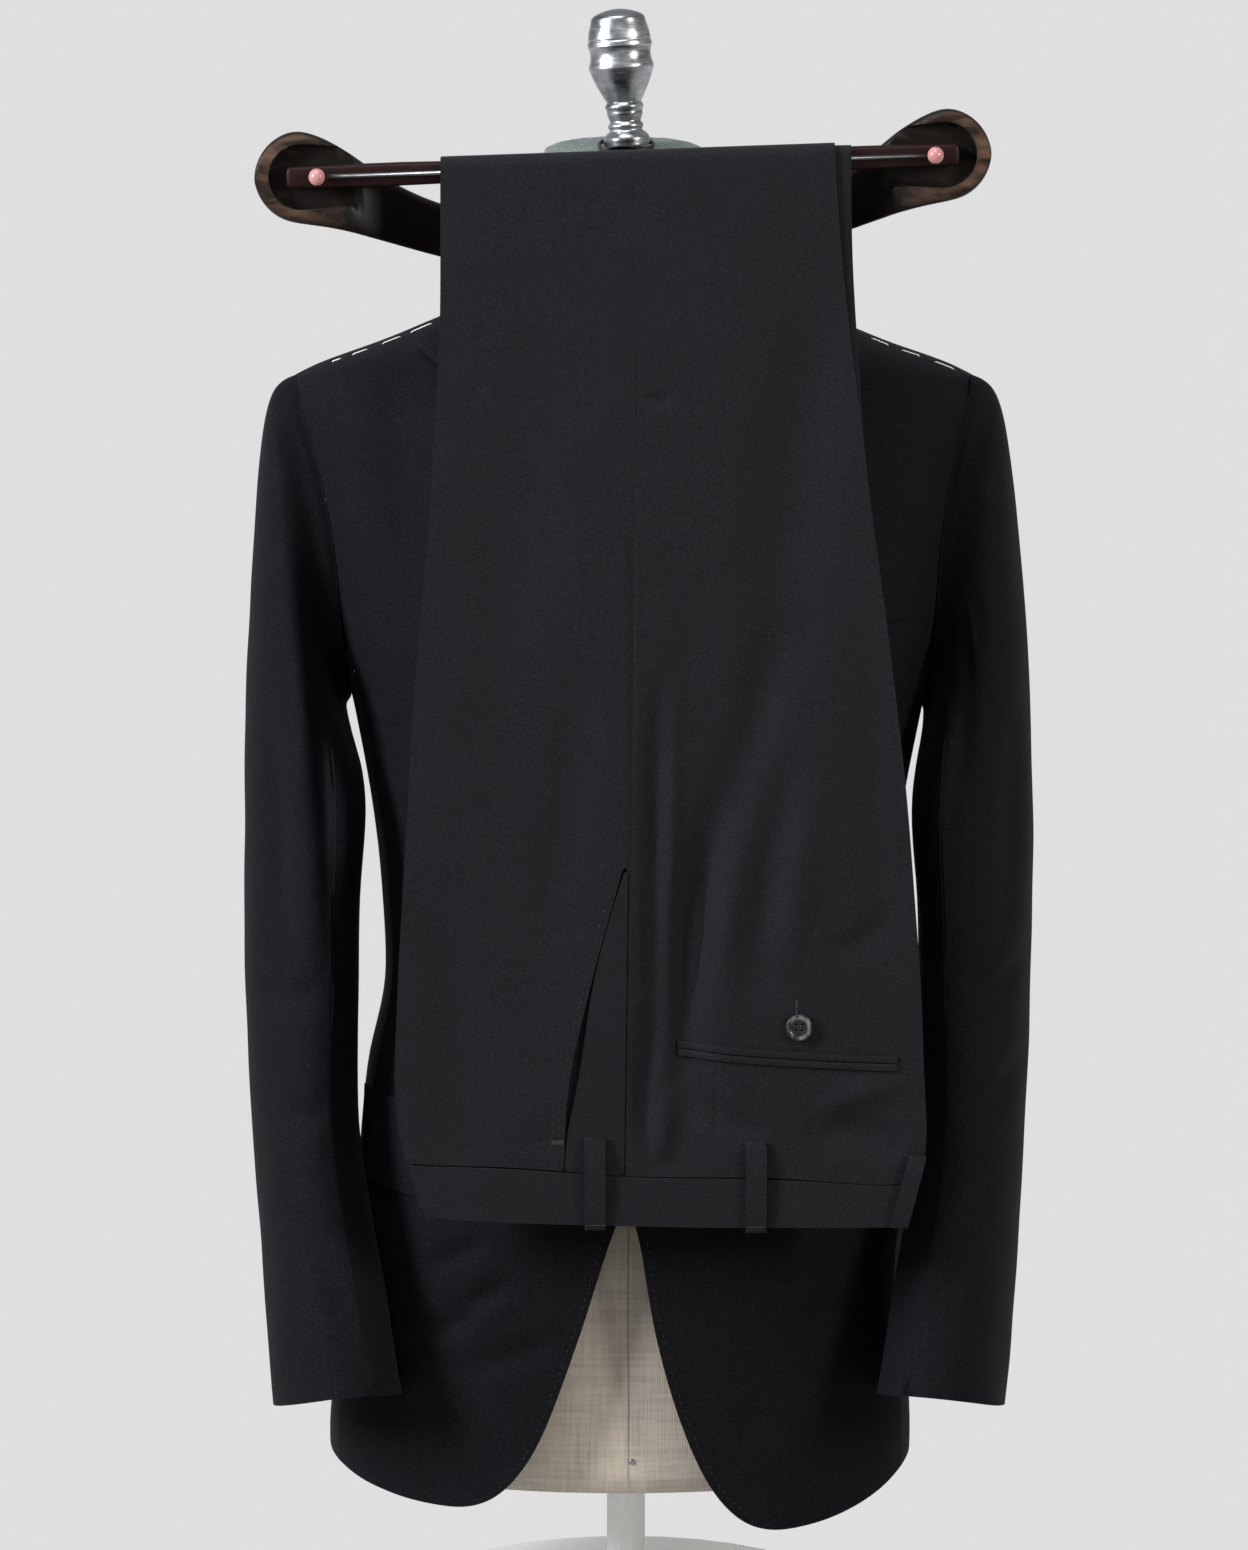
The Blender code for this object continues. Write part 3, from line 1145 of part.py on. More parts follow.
def hanger_section(x):
    """Rounded section of the level hanger at a distance from its middle."""
    distance = abs(x)
    drop = column(HANGER_ARM, "x", "drop", distance)
    half = column(HANGER_ARM, "x", "half_height", distance)
    face = column(HANGER_ARM, "x", "face", distance)
    thick = column(HANGER_ARM, "x", "thickness", distance)
    if distance > PADDLE_X:
        share = (distance - PADDLE_X) / PADDLE_RADIUS
        half = PADDLE_RADIUS * math.sqrt(max(1 - share * share, 0.0))
    centre_z = BAR_CENTRE[2] - drop
    ring = []
    round_off = min(ARM_ROUNDING, half * 0.4)
    for y_share, z_share, y_in, z_in in (
            (0, 1, 0.0, -1.0), (0, 1, 0.30, -0.28), (0, 1, 1.0, 0.0), (1, 1, -1.0, 0.0),
            (1, 1, -0.30, -0.28), (1, 1, 0.0, -1.0), (1, -1, 0.0, 1.0), (1, -1, -0.30, 0.28),
            (1, -1, -1.0, 0.0), (0, -1, 1.0, 0.0), (0, -1, 0.30, 0.28), (0, -1, 0.0, 1.0)):
        y = face + thick * y_share + y_in * min(ARM_ROUNDING, thick * 0.3)
        z = centre_z + half * z_share + z_in * round_off
        ring.append(tilt_hanger(Vector((BAR_CENTRE[0] + x, y, z))))
    return ring


def hanger_body():
    steps = [0.0, 0.04, 0.08, 0.113, 0.128, 0.142, 0.156, 0.168, 0.182, 0.196]
    steps += [PADDLE_X + PADDLE_RADIUS * math.sin(math.radians(a)) for a in (22, 42, 60, 74, 84)]
    stations = [-x for x in reversed(steps[1:])] + steps
    body = skin("hanger_body", [hanger_section(x) for x in stations], "dark_wood", closed=True,
                flip=True)
    for side, word in ((-1, "right"), (1, "left")):
        radius = PADDLE_RADIUS - RECESS_RIM
        work = bmesh.new()
        ring = []
        for angle in range(-90, 91, 20):
            ring.append((PADDLE_X + radius * math.cos(math.radians(angle)),
                         radius * math.sin(math.radians(angle))))
        ring.append((RECESS_INNER_X, radius * RECESS_TAPER))
        ring.append((RECESS_INNER_X, -radius * RECESS_TAPER))
        lows = []
        for x, z in ring:
            level = Vector((BAR_CENTRE[0] + side * x, RECESS_FRONT_Y, BAR_CENTRE[2] + z))
            lows.append(work.verts.new(tilt_hanger(level)))
        work.faces.new(lows)
        made = bmesh.ops.extrude_face_region(work, geom=work.faces[:])
        moved = [part for part in made["geom"] if isinstance(part, bmesh.types.BMVert)]
        bmesh.ops.translate(work, vec=(0.0, RECESS_FLOOR_Y - RECESS_FRONT_Y, 0.0), verts=moved)
        bmesh.ops.recalc_face_normals(work, faces=work.faces[:])
        mesh = bpy.data.meshes.new(f"recess_{word}")
        work.to_mesh(mesh)
        work.free()
        cutter(mesh.name, mesh, body)


def hanger_bar():
    work = bmesh.new()
    bmesh.ops.create_cube(work, size=1.0)
    bmesh.ops.scale(work, vec=(BAR_LENGTH, BAR_DEPTH, BAR_HEIGHT), verts=work.verts[:])
    mesh = bpy.data.meshes.new("hanger_bar")
    work.to_mesh(mesh)
    work.free()
    bar = new_object("hanger_bar", mesh, "bar_wood")
    bar.location = BAR_CENTRE
    bar.rotation_euler = (0.0, HANGER_TILT, 0.0)
    bevel_edges(bar, BAR_BEVEL, 2)


def tube(name, points, radius, finish):
    """A wire along a path, welded to one closed mesh."""
    curve = bpy.data.curves.new(name, "CURVE")
    curve.dimensions = "3D"
    curve.bevel_depth = radius
    curve.bevel_resolution = 1
    curve.use_fill_caps = True
    spline = curve.splines.new("POLY")
    spline.points.add(len(points) - 1)
    for slot, point in zip(spline.points, points):
        slot.co = (*point, 1.0)
    item = bpy.data.objects.new(name, curve)
    suit_collection.objects.link(item)
    graph = bpy.context.evaluated_depsgraph_get()
    mesh = bpy.data.meshes.new_from_object(item.evaluated_get(graph))
    bpy.data.objects.remove(item)
    bpy.data.curves.remove(curve)
    work = bmesh.new()
    work.from_mesh(mesh)
    bmesh.ops.remove_doubles(work, verts=work.verts[:], dist=0.00001)
    work.to_mesh(mesh)
    work.free()
    mesh.name = name
    return new_object(name, mesh, finish)


def clamp():
    """The wire that presses the trousers to the bar, and its two end stops."""
    ends = []
    for x, word in zip(BALL_X, ("right", "left")):
        work = bmesh.new()
        bmesh.ops.create_uvsphere(work, u_segments=12, v_segments=7, radius=BALL_RADIUS)
        mesh = bpy.data.meshes.new(f"clamp_stop_{word}")
        work.to_mesh(mesh)
        work.free()
        item = new_object(f"clamp_stop_{word}", mesh, "clear_stop")
        centre = tilt_hanger(Vector((x, WIRE_Y - BALL_RADIUS + WIRE_RADIUS, BAR_CENTRE[2])))
        item.location = centre
        ends.append(x - math.copysign(BALL_RADIUS + FIT_GAP, x))
    points = [tilt_hanger(Vector((x, WIRE_Y, BAR_CENTRE[2]))) for x in spread(ends[0], ends[1], 6)]
    tube("clamp_wire", points, WIRE_RADIUS, "steel_wire")


HOOK_PATH = (
    # a smooth path from the hanger's middle up the throat, over the plate and round the knob
    (-0.0020, -0.0765, 0.8985), (-0.0020, -0.0712, 0.9050), (-0.0020, -0.0655, 0.9160),
    (-0.0020, -0.0635, 0.9300), (-0.0025, -0.0630, 0.9420), (-0.0040, -0.0600, 0.9525),
    (-0.0080, -0.0500, 0.9560), (-0.0140, -0.0360, 0.9565), (-0.0195, -0.0200, 0.9580),
    (-0.0222, -0.0040, 0.9600), (-0.0205, 0.0110, 0.9622), (-0.0130, 0.0215, 0.9640),
    (0.0000, 0.0250, 0.9648), (0.0130, 0.0215, 0.9640), (0.0210, 0.0110, 0.9622),
    (0.0225, -0.0040, 0.9600), (0.0185, -0.0160, 0.9580), (0.0130, -0.0235, 0.9570),
)


def hook():
    """The hanger's hook, a smooth wire through the path's points."""
    numbers = list(range(len(HOOK_PATH)))
    points = []
    for place in spread(0.0, numbers[-1], 30):
        points.append(Vector(tuple(smooth(numbers, [p[axis] for p in HOOK_PATH], place)
                                   for axis in range(3))))
    tube("hanger_hook", points, HOOK_RADIUS, "steel_wire")


# Front buttons

def front_buttons():
    for number, z in enumerate(FRONT_BUTTON_Z, start=1):
        surface = front_point(1, 0.02, z)
        place = (0.0, surface.y - 0.0008, z)
        button(f"front_button_{number}", place, (0, -1, 0.02), FRONT_BUTTON_RADIUS)


# Build

for leftover in list(bpy.data.objects):
    bpy.data.objects.remove(leftover)
suit_collection = bpy.data.collections.new(SUIT_NAME)
cutter_collection = bpy.data.collections.new("cutters")
bpy.context.scene.collection.children.link(suit_collection)
bpy.context.scene.collection.children.link(cutter_collection)

stand()
dress_form()
neck_plate()
neck_knob()
jacket_body()
jacket_trim()
collar()
sleeves()
front_buttons()
hanger_body()
hanger_bar()
clamp()
hook()
trouser_layers()
trouser_panels()
pocket_facing()
waistband()
belt_loops()
back_pocket()
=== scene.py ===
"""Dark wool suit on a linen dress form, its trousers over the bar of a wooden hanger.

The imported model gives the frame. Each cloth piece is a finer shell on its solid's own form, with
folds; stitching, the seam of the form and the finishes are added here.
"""

import json
import logging
import math
from contextlib import contextmanager
from dataclasses import dataclass
from enum import Enum
from typing import Callable, Iterable, Iterator, Sequence

import bmesh
import bpy
import numpy as np
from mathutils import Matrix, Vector, noise
from mathutils.bvhtree import BVHTree

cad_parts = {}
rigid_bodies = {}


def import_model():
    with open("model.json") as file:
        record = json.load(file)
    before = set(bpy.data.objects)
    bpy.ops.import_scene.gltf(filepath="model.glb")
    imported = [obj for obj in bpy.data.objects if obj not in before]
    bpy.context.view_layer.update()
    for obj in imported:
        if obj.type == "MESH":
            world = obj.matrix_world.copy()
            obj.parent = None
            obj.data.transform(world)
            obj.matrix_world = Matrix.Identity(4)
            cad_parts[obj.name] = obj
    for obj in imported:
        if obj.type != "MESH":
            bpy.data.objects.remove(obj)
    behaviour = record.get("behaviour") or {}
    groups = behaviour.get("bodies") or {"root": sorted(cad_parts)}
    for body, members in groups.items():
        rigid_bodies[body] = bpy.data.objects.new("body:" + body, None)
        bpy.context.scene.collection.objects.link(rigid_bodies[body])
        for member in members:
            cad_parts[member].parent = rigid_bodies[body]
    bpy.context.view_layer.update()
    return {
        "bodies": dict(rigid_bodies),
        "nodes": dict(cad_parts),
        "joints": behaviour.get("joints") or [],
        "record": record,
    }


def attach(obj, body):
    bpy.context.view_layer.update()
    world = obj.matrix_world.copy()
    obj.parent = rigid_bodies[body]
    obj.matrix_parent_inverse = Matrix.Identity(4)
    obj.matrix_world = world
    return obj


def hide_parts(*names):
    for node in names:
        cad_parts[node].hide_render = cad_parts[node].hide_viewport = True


LOG = logging.getLogger("wool_suit")
BODY = "root"
MERGE = 0.00001            # points nearer than this are one
FRONT_SIDE = -0.150        # the trousers' layers in front of this face the front
RIPPLES = ((1.0, 13, 9), (0.5, 34, 22))   # share of the height, waves across and along
Item = bpy.types.Object
Pair = tuple[float, float]
Triple = tuple[float, float, float]


def clamp(value: float) -> float:
    """A value held between 0 and 1."""
    return min(1.0, max(0.0, value))


def bell(value: float, width: float) -> float:
    """A smooth hump, 1 at 0 and about a third at the width."""
    return math.exp(-(value / width) ** 2)


@contextmanager
def editing() -> Iterator[None]:
    """Edit mode with all of the active mesh selected, left again at the end."""
    bpy.ops.object.mode_set(mode="EDIT")
    bpy.ops.mesh.select_all(action="SELECT")
    yield
    bpy.ops.object.mode_set(mode="OBJECT")


def coat(item: Item, material: bpy.types.Material) -> None:
    """Give an object one material."""
    item.data.materials.clear()
    item.data.materials.append(material)


class Wire:
    """A node's output socket, with the arithmetic of shader maths on it."""

    def __init__(self, tree: bpy.types.NodeTree, socket: bpy.types.NodeSocket) -> None:
        """Keep the socket and the tree that new nodes go into."""
        self.tree = tree
        self.socket = socket

    def _math(self, operation: str, first: "Wire | float", second: "Wire | float") -> "Wire":
        """Add a Math node on two values and return its result."""
        node = self.tree.nodes.new("ShaderNodeMath")
        node.operation = operation
        for slot, value in zip(node.inputs, (first, second)):
            if isinstance(value, Wire):
                self.tree.links.new(value.socket, slot)
            else:
                slot.default_value = value
        return Wire(self.tree, node.outputs[0])

    def __add__(self, other: "Wire | float") -> "Wire":
        """Sum."""
        return self._math("ADD", self, other)

    def __radd__(self, other: float) -> "Wire":
        """Sum with a number on the left."""
        return self._math("ADD", other, self)

    def __sub__(self, other: "Wire | float") -> "Wire":
        """Difference."""
        return self._math("SUBTRACT", self, other)

    def __rsub__(self, other: float) -> "Wire":
        """Difference from a number on the left."""
        return self._math("SUBTRACT", other, self)

    def __mul__(self, other: "Wire | float") -> "Wire":
        """Product."""
        return self._math("MULTIPLY", self, other)

    def sine(self) -> "Wire":
        """Sine of the value, in radians."""
        return self._math("SINE", self, 0.0)

    def at_least(self, floor: float) -> "Wire":
        """The larger of the value and a floor."""
        return self._math("MAXIMUM", self, floor)


class Shader:
    """A material's node tree, built with one node-making method."""

    def __init__(self, name: str, colour: Triple) -> None:
        """Start a Principled material with a plain base colour."""
        self.material = bpy.data.materials.new(name)
        self.material.use_nodes = True
        self.material.diffuse_color = (*colour, 1.0)
        self.tree = self.material.node_tree
        self.surface = self.tree.nodes["Principled BSDF"]
        self.surface.inputs["Base Color"].default_value = (*colour, 1.0)

    def node(self, kind: str, settings: dict | None = None, inputs: dict | None = None,
             output: int | str = 0) -> Wire:
        """Add a node.

        Args:
            kind: node type without its ShaderNode prefix.
            settings: attributes, set first; a ramp's stops come under "stops".
            inputs: values or wires for its sockets, by name or number.
            output: the output to return.

        Returns:
            The chosen output.
        """
        made = self.tree.nodes.new("ShaderNode" + kind)
        for key, value in (settings or {}).items():
            if key == "stops":
                self._set_stops(made.color_ramp, value)
            else:
                setattr(made, key, value)
        for key, value in (inputs or {}).items():
            if isinstance(value, Wire):
                self.tree.links.new(value.socket, made.inputs[key])
            else:
                made.inputs[key].default_value = value
        return Wire(self.tree, made.outputs[output])

    @staticmethod
    def _set_stops(ramp: bpy.types.ColorRamp, stops: Sequence[tuple[float, Triple]]) -> None:
        """Give a colour ramp its stops."""
        while len(ramp.elements) < len(stops):
            ramp.elements.new(1.0)
        for element, (place, colour) in zip(ramp.elements, stops):
            element.position = place
            element.color = (*colour, 1.0)

    def place(self) -> Wire:
        """Object coordinates of the piece."""
        return self.node("TexCoord", output="Object")

    def cloth_place(self) -> Wire:
        """The piece's own cloth coordinates, in metres."""
        return self.node("UVMap", {"uv_map": "cloth"})

    def stretched(self, scale: Triple, turn: Triple = (0.0, 0.0, 0.0)) -> Wire:
        """Object coordinates, scaled and turned."""
        return self.node("Mapping", inputs={"Vector": self.place(), "Scale": scale,
                                            "Rotation": turn})

    def axis(self, vector: Wire, number: int) -> Wire:
        """One coordinate of a vector."""
        return self.node("SeparateXYZ", inputs={0: vector}, output=number)

    def speckle(self, scale: float, detail: float = 2.0, vector: Wire | None = None) -> Wire:
        """Noise, about 0.5 on average."""
        return self.node("TexNoise", inputs={"Vector": vector or self.place(), "Scale": scale,
                                             "Detail": detail}, output="Fac")

    def mark(self, name: str) -> Wire:
        """An attribute of the piece's points."""
        return self.node("Attribute", {"attribute_name": name}, output="Fac")

    def ramp(self, value: Wire, stops: Sequence[tuple[float, Triple]]) -> Wire:
        """Colour by value."""
        return self.node("ValToRGB", {"stops": stops}, {"Fac": value})

    def blend(self, mask: Wire, first: "Wire | Triple", second: "Wire | Triple") -> Wire:
        """Mix two colours by a mask."""
        sides = {6: first, 7: second}
        inputs = {key: side if isinstance(side, Wire) else (*side, 1.0)
                  for key, side in sides.items()}
        return self.node("Mix", {"data_type": "RGBA"}, {0: mask, **inputs}, output=2)

    def set(self, **values: float) -> None:
        """Set plain values on the surface's own sockets; underscores stand for spaces."""
        for key, value in values.items():
            self.surface.inputs[key.replace("_", " ")].default_value = value

    def feed(self, socket: str, wire: Wire) -> None:
        """Link a wire to one of the surface's sockets."""
        self.tree.links.new(wire.socket, self.surface.inputs[socket])

    def bump(self, height: Wire, depth: float, strength: float = 1.0) -> None:
        """Feed a height to the surface's normal, depth in metres."""
        self.feed("Normal", self.node("Bump", inputs={"Height": height, "Distance": depth,
                                                      "Strength": strength}, output="Normal"))


@dataclass(frozen=True)
class Wool:
    """Worsted wool: a fine twill with a faint nap."""

    name: str
    colour: Triple
    sheen: float
    shine: float
    rib: float = 0.0011
    grain: Pair = (0.55, 1.5)

    def make(self) -> bpy.types.Material:
        """Build the material."""
        shader = Shader(self.name, self.colour)
        shader.set(Roughness=0.80, Sheen_Weight=self.sheen, Sheen_Roughness=0.40,
                   Specular_IOR_Level=self.shine)
        cloth = shader.cloth_place()
        across, along = shader.axis(cloth, 0), shader.axis(cloth, 1)
        turns = 2 * math.pi / self.rib
        twill = ((across * 0.80 + along * 0.60) * turns).sine()
        yarn = ((along * 0.80 - across * 0.60) * (turns * 1.6)).sine()
        fuzz = shader.speckle(760.0, 5.0)
        cloudy = shader.speckle(26.0, 3.0)
        tone = (cloudy - 0.5) * 0.26 + (fuzz - 0.5) * 2.1 + twill * 0.10
        dark, light = (tuple(channel * share for channel in self.colour) for share in self.grain)
        shader.feed("Base Color", shader.blend(tone + 0.5, dark, light))
        shader.bump(twill * 0.5 + yarn * 0.25 + fuzz * 1.2, 0.00010, 0.55)
        return shader.material


@dataclass(frozen=True)
class Linen:
    """Unbleached linen: plain weave with thicker threads here and there."""

    name: str
    colour: Triple
    pitch: float = 0.0016

    def make(self) -> bpy.types.Material:
        """Build the material."""
        shader = Shader(self.name, self.colour)
        shader.set(Roughness=0.9, Specular_IOR_Level=0.2, Sheen_Weight=0.08)
        thread = 2 * math.pi / self.pitch
        across, up = (shader.axis(shader.place(), number) for number in (0, 2))
        weave = (across * thread).sine() * 0.5 + (up * thread).sine() * 0.5
        slubs = shader.speckle(420.0, 2.0, shader.stretched((1.0, 1.0, 0.06)))
        picks = shader.speckle(420.0, 2.0, shader.stretched((0.06, 0.06, 1.0)))
        tone = slubs * 0.5 + picks * 0.5 + weave * 0.06 + (shader.speckle(9.0) - 0.5) * 0.3
        stops = [(0.30, tuple(c * 0.80 for c in self.colour)), (0.5, self.colour),
                 (0.70, tuple(min(c * 1.16, 1.0) for c in self.colour))]
        shader.feed("Base Color", shader.ramp(tone, stops))
        shader.bump(slubs + picks + weave * 0.4, 0.00025, 0.6)
        return shader.material


@dataclass(frozen=True)
class Horn:
    """Dark mottled horn, with a painted highlight ring, pale and streaked, where the attribute
    "rim" is high.
    """

    name: str

    def make(self) -> bpy.types.Material:
        """Build the material."""
        shader = Shader(self.name, (0.012, 0.010, 0.010))
        streaks = shader.speckle(260.0, 4.0, shader.stretched((1.0, 1.0, 0.25)))
        stops = [(0.34, (0.004, 0.004, 0.004)), (0.60, (0.008, 0.007, 0.0065)),
                 (0.80, (0.030, 0.025, 0.022))]
        # the attribute "rim" carries the painted highlight ring; the pale ramp below is the painted
        # highlight colour
        rim = shader.mark("rim")
        pale = shader.ramp(streaks, [(0.42, (0.008, 0.008, 0.007)), (0.66, (0.19, 0.185, 0.175))])
        shader.feed("Base Color", shader.blend(rim, shader.ramp(streaks, stops), pale))
        shader.feed("Roughness", streaks * 0.22 + 0.20)
        shader.set(Coat_Weight=0.35, Coat_Roughness=0.08, Specular_IOR_Level=0.3)
        shader.bump(streaks, 0.00006, 0.5)
        return shader.material


@dataclass(frozen=True)
class CastMetal:
    """Turned grey metal with fine rings, scuffs and dull patches."""

    name: str

    def make(self) -> bpy.types.Material:
        """Build the material."""
        shader = Shader(self.name, (0.42, 0.43, 0.45))
        shader.set(Metallic=1.0)
        patches = shader.speckle(75.0, 4.0)
        scratches = shader.speckle(900.0, 2.0, shader.stretched((0.12, 0.12, 1.0), (0.2, 0.5, 0.0)))
        stops = [(0.30, (0.12, 0.125, 0.135)), (0.5, (0.33, 0.34, 0.355)),
                 (0.72, (0.56, 0.57, 0.59))]
        shader.feed("Base Color", shader.ramp(patches * 0.75 + scratches * 0.25, stops))
        shader.feed("Roughness", patches * 0.30 + scratches * 0.16 + 0.08)
        shader.bump(scratches + shader.speckle(240.0, 3.0) * 0.7, 0.00012, 0.35)
        return shader.material


@dataclass(frozen=True)
class Varnish:
    """Varnished wood: grain along X, worn to bare brown where the attribute "wear" is high."""

    name: str
    dark: Triple
    brown: Triple
    worn: Triple
    gloss: float
    coat: float

    def make(self) -> bpy.types.Material:
        """Build the material."""
        shader = Shader(self.name, self.dark)
        shader.set(Specular_IOR_Level=0.10, Coat_Roughness=0.30)
        grain = shader.speckle(210.0, 4.0, shader.stretched((0.10, 1.0, 1.0)))
        wood = shader.blend(grain, self.dark, self.brown)
        streaks = shader.speckle(190.0, 6.0, shader.stretched((0.30, 1.0, 1.0), (0.0, 0.5, 0.0)))
        worn = shader.mark("wear") * ((streaks - 0.40).at_least(0.0) * 3.4 + 0.15)
        shader.feed("Base Color", shader.blend(worn, wood, self.worn))
        shader.feed("Roughness", self.gloss + worn * 0.25 + grain * 0.10)
        shader.feed("Coat Weight", self.coat - worn * self.coat)
        shader.bump(grain * 0.6 + worn * -0.6, 0.00018, 0.5)
        return shader.material


@dataclass(frozen=True)
class Plain:
    """A finish with one colour and a little uneven roughness."""

    name: str
    colour: Triple
    roughness: float
    metallic: float = 0.0
    speckles: float = 0.0
    see_through: float = 0.0

    def make(self) -> bpy.types.Material:
        """Build the material."""
        shader = Shader(self.name, self.colour)
        shader.set(Metallic=self.metallic, Transmission_Weight=self.see_through)
        mottled = shader.speckle(180.0, 3.0)
        shader.feed("Roughness", mottled * 0.16 + (self.roughness - 0.08))
        if self.speckles:
            fine = shader.speckle(620.0, 2.0)
            stops = [(0.40, tuple(c * (1 - self.speckles) for c in self.colour)),
                     (0.5, self.colour),
                     (0.62, tuple(min(c * (1 + self.speckles), 1.0) for c in self.colour))]
            shader.feed("Base Color", shader.ramp(fine, stops))
            shader.bump(fine, 0.0001, 0.4)
        else:
            shade = tuple(c * 0.82 for c in self.colour)
            shader.feed("Base Color", shader.blend(mottled, shade, self.colour))
        return shader.material


class Lay(Enum):
    """How a piece's cloth coordinates and its outward direction are read."""

    FLAT = "flat"
    ROUND_BODY = "round the body"
    RIGHT_SLEEVE = "round the right sleeve"
    LEFT_SLEEVE = "round the left sleeve"


def smooth_path(points: Sequence[Pair], steps: int = 4) -> np.ndarray:
    """A rounded line through points, with a few steps between each two."""
    spine = np.array(points)
    spine = np.vstack([2 * spine[0] - spine[1], spine, 2 * spine[-1] - spine[-2]])
    line = []
    for before, start, end, after in zip(spine, spine[1:], spine[2:], spine[3:]):
        for step in range(steps):
            t = step / steps
            bend = 2 * before - 5 * start + 4 * end - after
            twist = 3 * start - before - 3 * end + after
            line.append(0.5 * (2 * start + (end - before) * t + bend * t ** 2 + twist * t ** 3))
    return np.array([*line, spine[-2]])


class Fold:
    """A soft trough drawn on the front or back view; a negative depth makes a ridge."""

    def __init__(self, path: Sequence[Pair], depth: float, width: float,
                 behind: bool = False) -> None:
        """Set up the fold.

        Args:
            path: points along it, as (x, z).
            depth: how deep it is in its middle, in metres.
            width: its half width.
            behind: True for a fold on the back view.
        """
        self.line = smooth_path(path)
        self.depth = depth
        self.width = width
        self.behind = behind

    def push(self, places: np.ndarray, outs: np.ndarray) -> np.ndarray:
        """How far the fold pushes each point in.

        Args:
            places: the points.
            outs: the cloth's outward direction at each.

        Returns:
            The depths, fading past the fold's ends, to its sides and where the cloth turns away.
        """
        seen = places[:, (0, 2)]
        best = np.full(len(seen), 3 * self.width)
        share = np.zeros(len(seen))
        last = len(self.line) - 1
        for number, (start, end) in enumerate(zip(self.line, self.line[1:])):
            step = end - start
            along = np.clip((seen - start) @ step / (step @ step), 0.0, 1.0)
            distance = np.linalg.norm(seen - start - along[:, None] * step, axis=1)
            nearer = distance < best
            best[nearer] = distance[nearer]
            share[nearer] = (number + along[nearer]) / last
        facing = np.clip(outs[:, 1] * (2.5 if self.behind else -2.5), 0.0, 1.0)
        swell = np.sin(np.pi * np.clip(share, 0.0, 1.0)) ** 0.9
        return self.depth * facing * swell * np.exp(-(best / self.width) ** 2)


@dataclass(frozen=True)
class Part:
    """A hard piece: its node and new name, how fine it gets, its finish and change of shape."""

    node: str
    name: str
    levels: int
    sharp: float
    material: bpy.types.Material
    slot: str
    change: Callable[[Item], None] | None = None


HIGHLIGHT_RING_SHARE = 0.78     # a button's painted highlight ring: its middle and half width, in radii
HIGHLIGHT_RING_WIDTH = 0.13


class Bench:
    """Mesh work shared by every piece: copies of nodes, smoothing, cloth coordinates."""

    def __init__(self, frame: dict) -> None:
        """Keep the loaded frame."""
        self.nodes = frame["nodes"]
        self.made: dict[str, Item] = {}

    @staticmethod
    def select_only(piece: Item) -> None:
        """Select and activate one object."""
        bpy.ops.object.select_all(action="DESELECT")
        piece.select_set(True)
        bpy.context.view_layer.objects.active = piece

    def rework(self, node: str, name: str, levels: int, sharp: float = 42.0) -> Item:
        """Copy a node's mesh, merge it and make it finer without moving its rims.

        Args:
            node: the node to copy and replace.
            name: the new piece's name.
            levels: subdivision levels.
            sharp: edges bent by more than this many degrees stay sharp.

        Returns:
            The new piece.
        """
        piece = bpy.data.objects.new(name, self.nodes[node].data.copy())
        bpy.context.scene.collection.objects.link(piece)
        self.select_only(piece)
        with editing():
            bpy.ops.mesh.remove_doubles(threshold=MERGE)
            bpy.ops.mesh.tris_convert_to_quads(face_threshold=math.radians(30),
                                               shape_threshold=math.radians(60))
        self._crease(piece, sharp)
        rounder = piece.modifiers.new("finer", "SUBSURF")
        rounder.levels = rounder.render_levels = levels
        bpy.ops.object.modifier_apply(modifier=rounder.name)
        bpy.ops.object.shade_smooth_by_angle(angle=math.radians(sharp))
        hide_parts(node)
        self.made[name] = piece
        return piece

    @staticmethod
    def _crease(piece: Item, sharp: float) -> None:
        """Crease the edges that are bent by more than sharp degrees."""
        work = bmesh.new()
        work.from_mesh(piece.data)
        layers = work.edges.layers.float
        layer = layers.get("crease_edge") or layers.new("crease_edge")
        limit = math.radians(sharp)
        for edge in work.edges:
            bent = len(edge.link_faces) != 2 or edge.calc_face_angle(0.0) > limit
            edge[layer] = 1.0 if bent else 0.0
        work.to_mesh(piece.data)
        work.free()

    @staticmethod
    def chart(piece: Item, place: Callable[[Vector], Pair]) -> None:
        """Give a piece its cloth coordinates, in metres, worked out from each point."""
        layer = piece.data.uv_layers.new(name="cloth")
        for loop in piece.data.loops:
            layer.data[loop.index].uv = place(piece.data.vertices[loop.vertex_index].co)

    def finish(self, piece: Item, material: bpy.types.Material, slot: str) -> None:
        """Dress a piece and let it ride on the body."""
        coat(piece, material)
        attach(piece, BODY)
        LOG.info("%s: %d faces", piece.name, len(piece.data.polygons))

    def dress(self, part: Part) -> None:
        """Make a hard piece from its row."""
        piece = self.rework(part.node, part.name, part.levels, part.sharp)
        if part.change:
            part.change(piece)
        self.finish(piece, part.material, part.slot)

    def horn_button(self, node: str, material: bpy.types.Material) -> Item:
        """Make a button, with the ring near its rim marked for the horn's painted highlight."""
        piece = self.rework(node, f"{node}_horn", 2, 50.0)
        points = [vertex.co.copy() for vertex in piece.data.vertices]
        middle = sum(points, Vector()) / len(points)
        radius = max(math.hypot(point.x - middle.x, point.z - middle.z) for point in points)
        mark = piece.data.attributes.new("rim", "FLOAT", "POINT")
        for number, point in enumerate(points):
            share = math.hypot(point.x - middle.x, point.z - middle.z) / radius
            # a painted highlight ring, brightest a little inside the button's edge
            mark.data[number].value = bell(share - HIGHLIGHT_RING_SHARE, HIGHLIGHT_RING_WIDTH)
        self.finish(piece, material, "horn")
        return piece


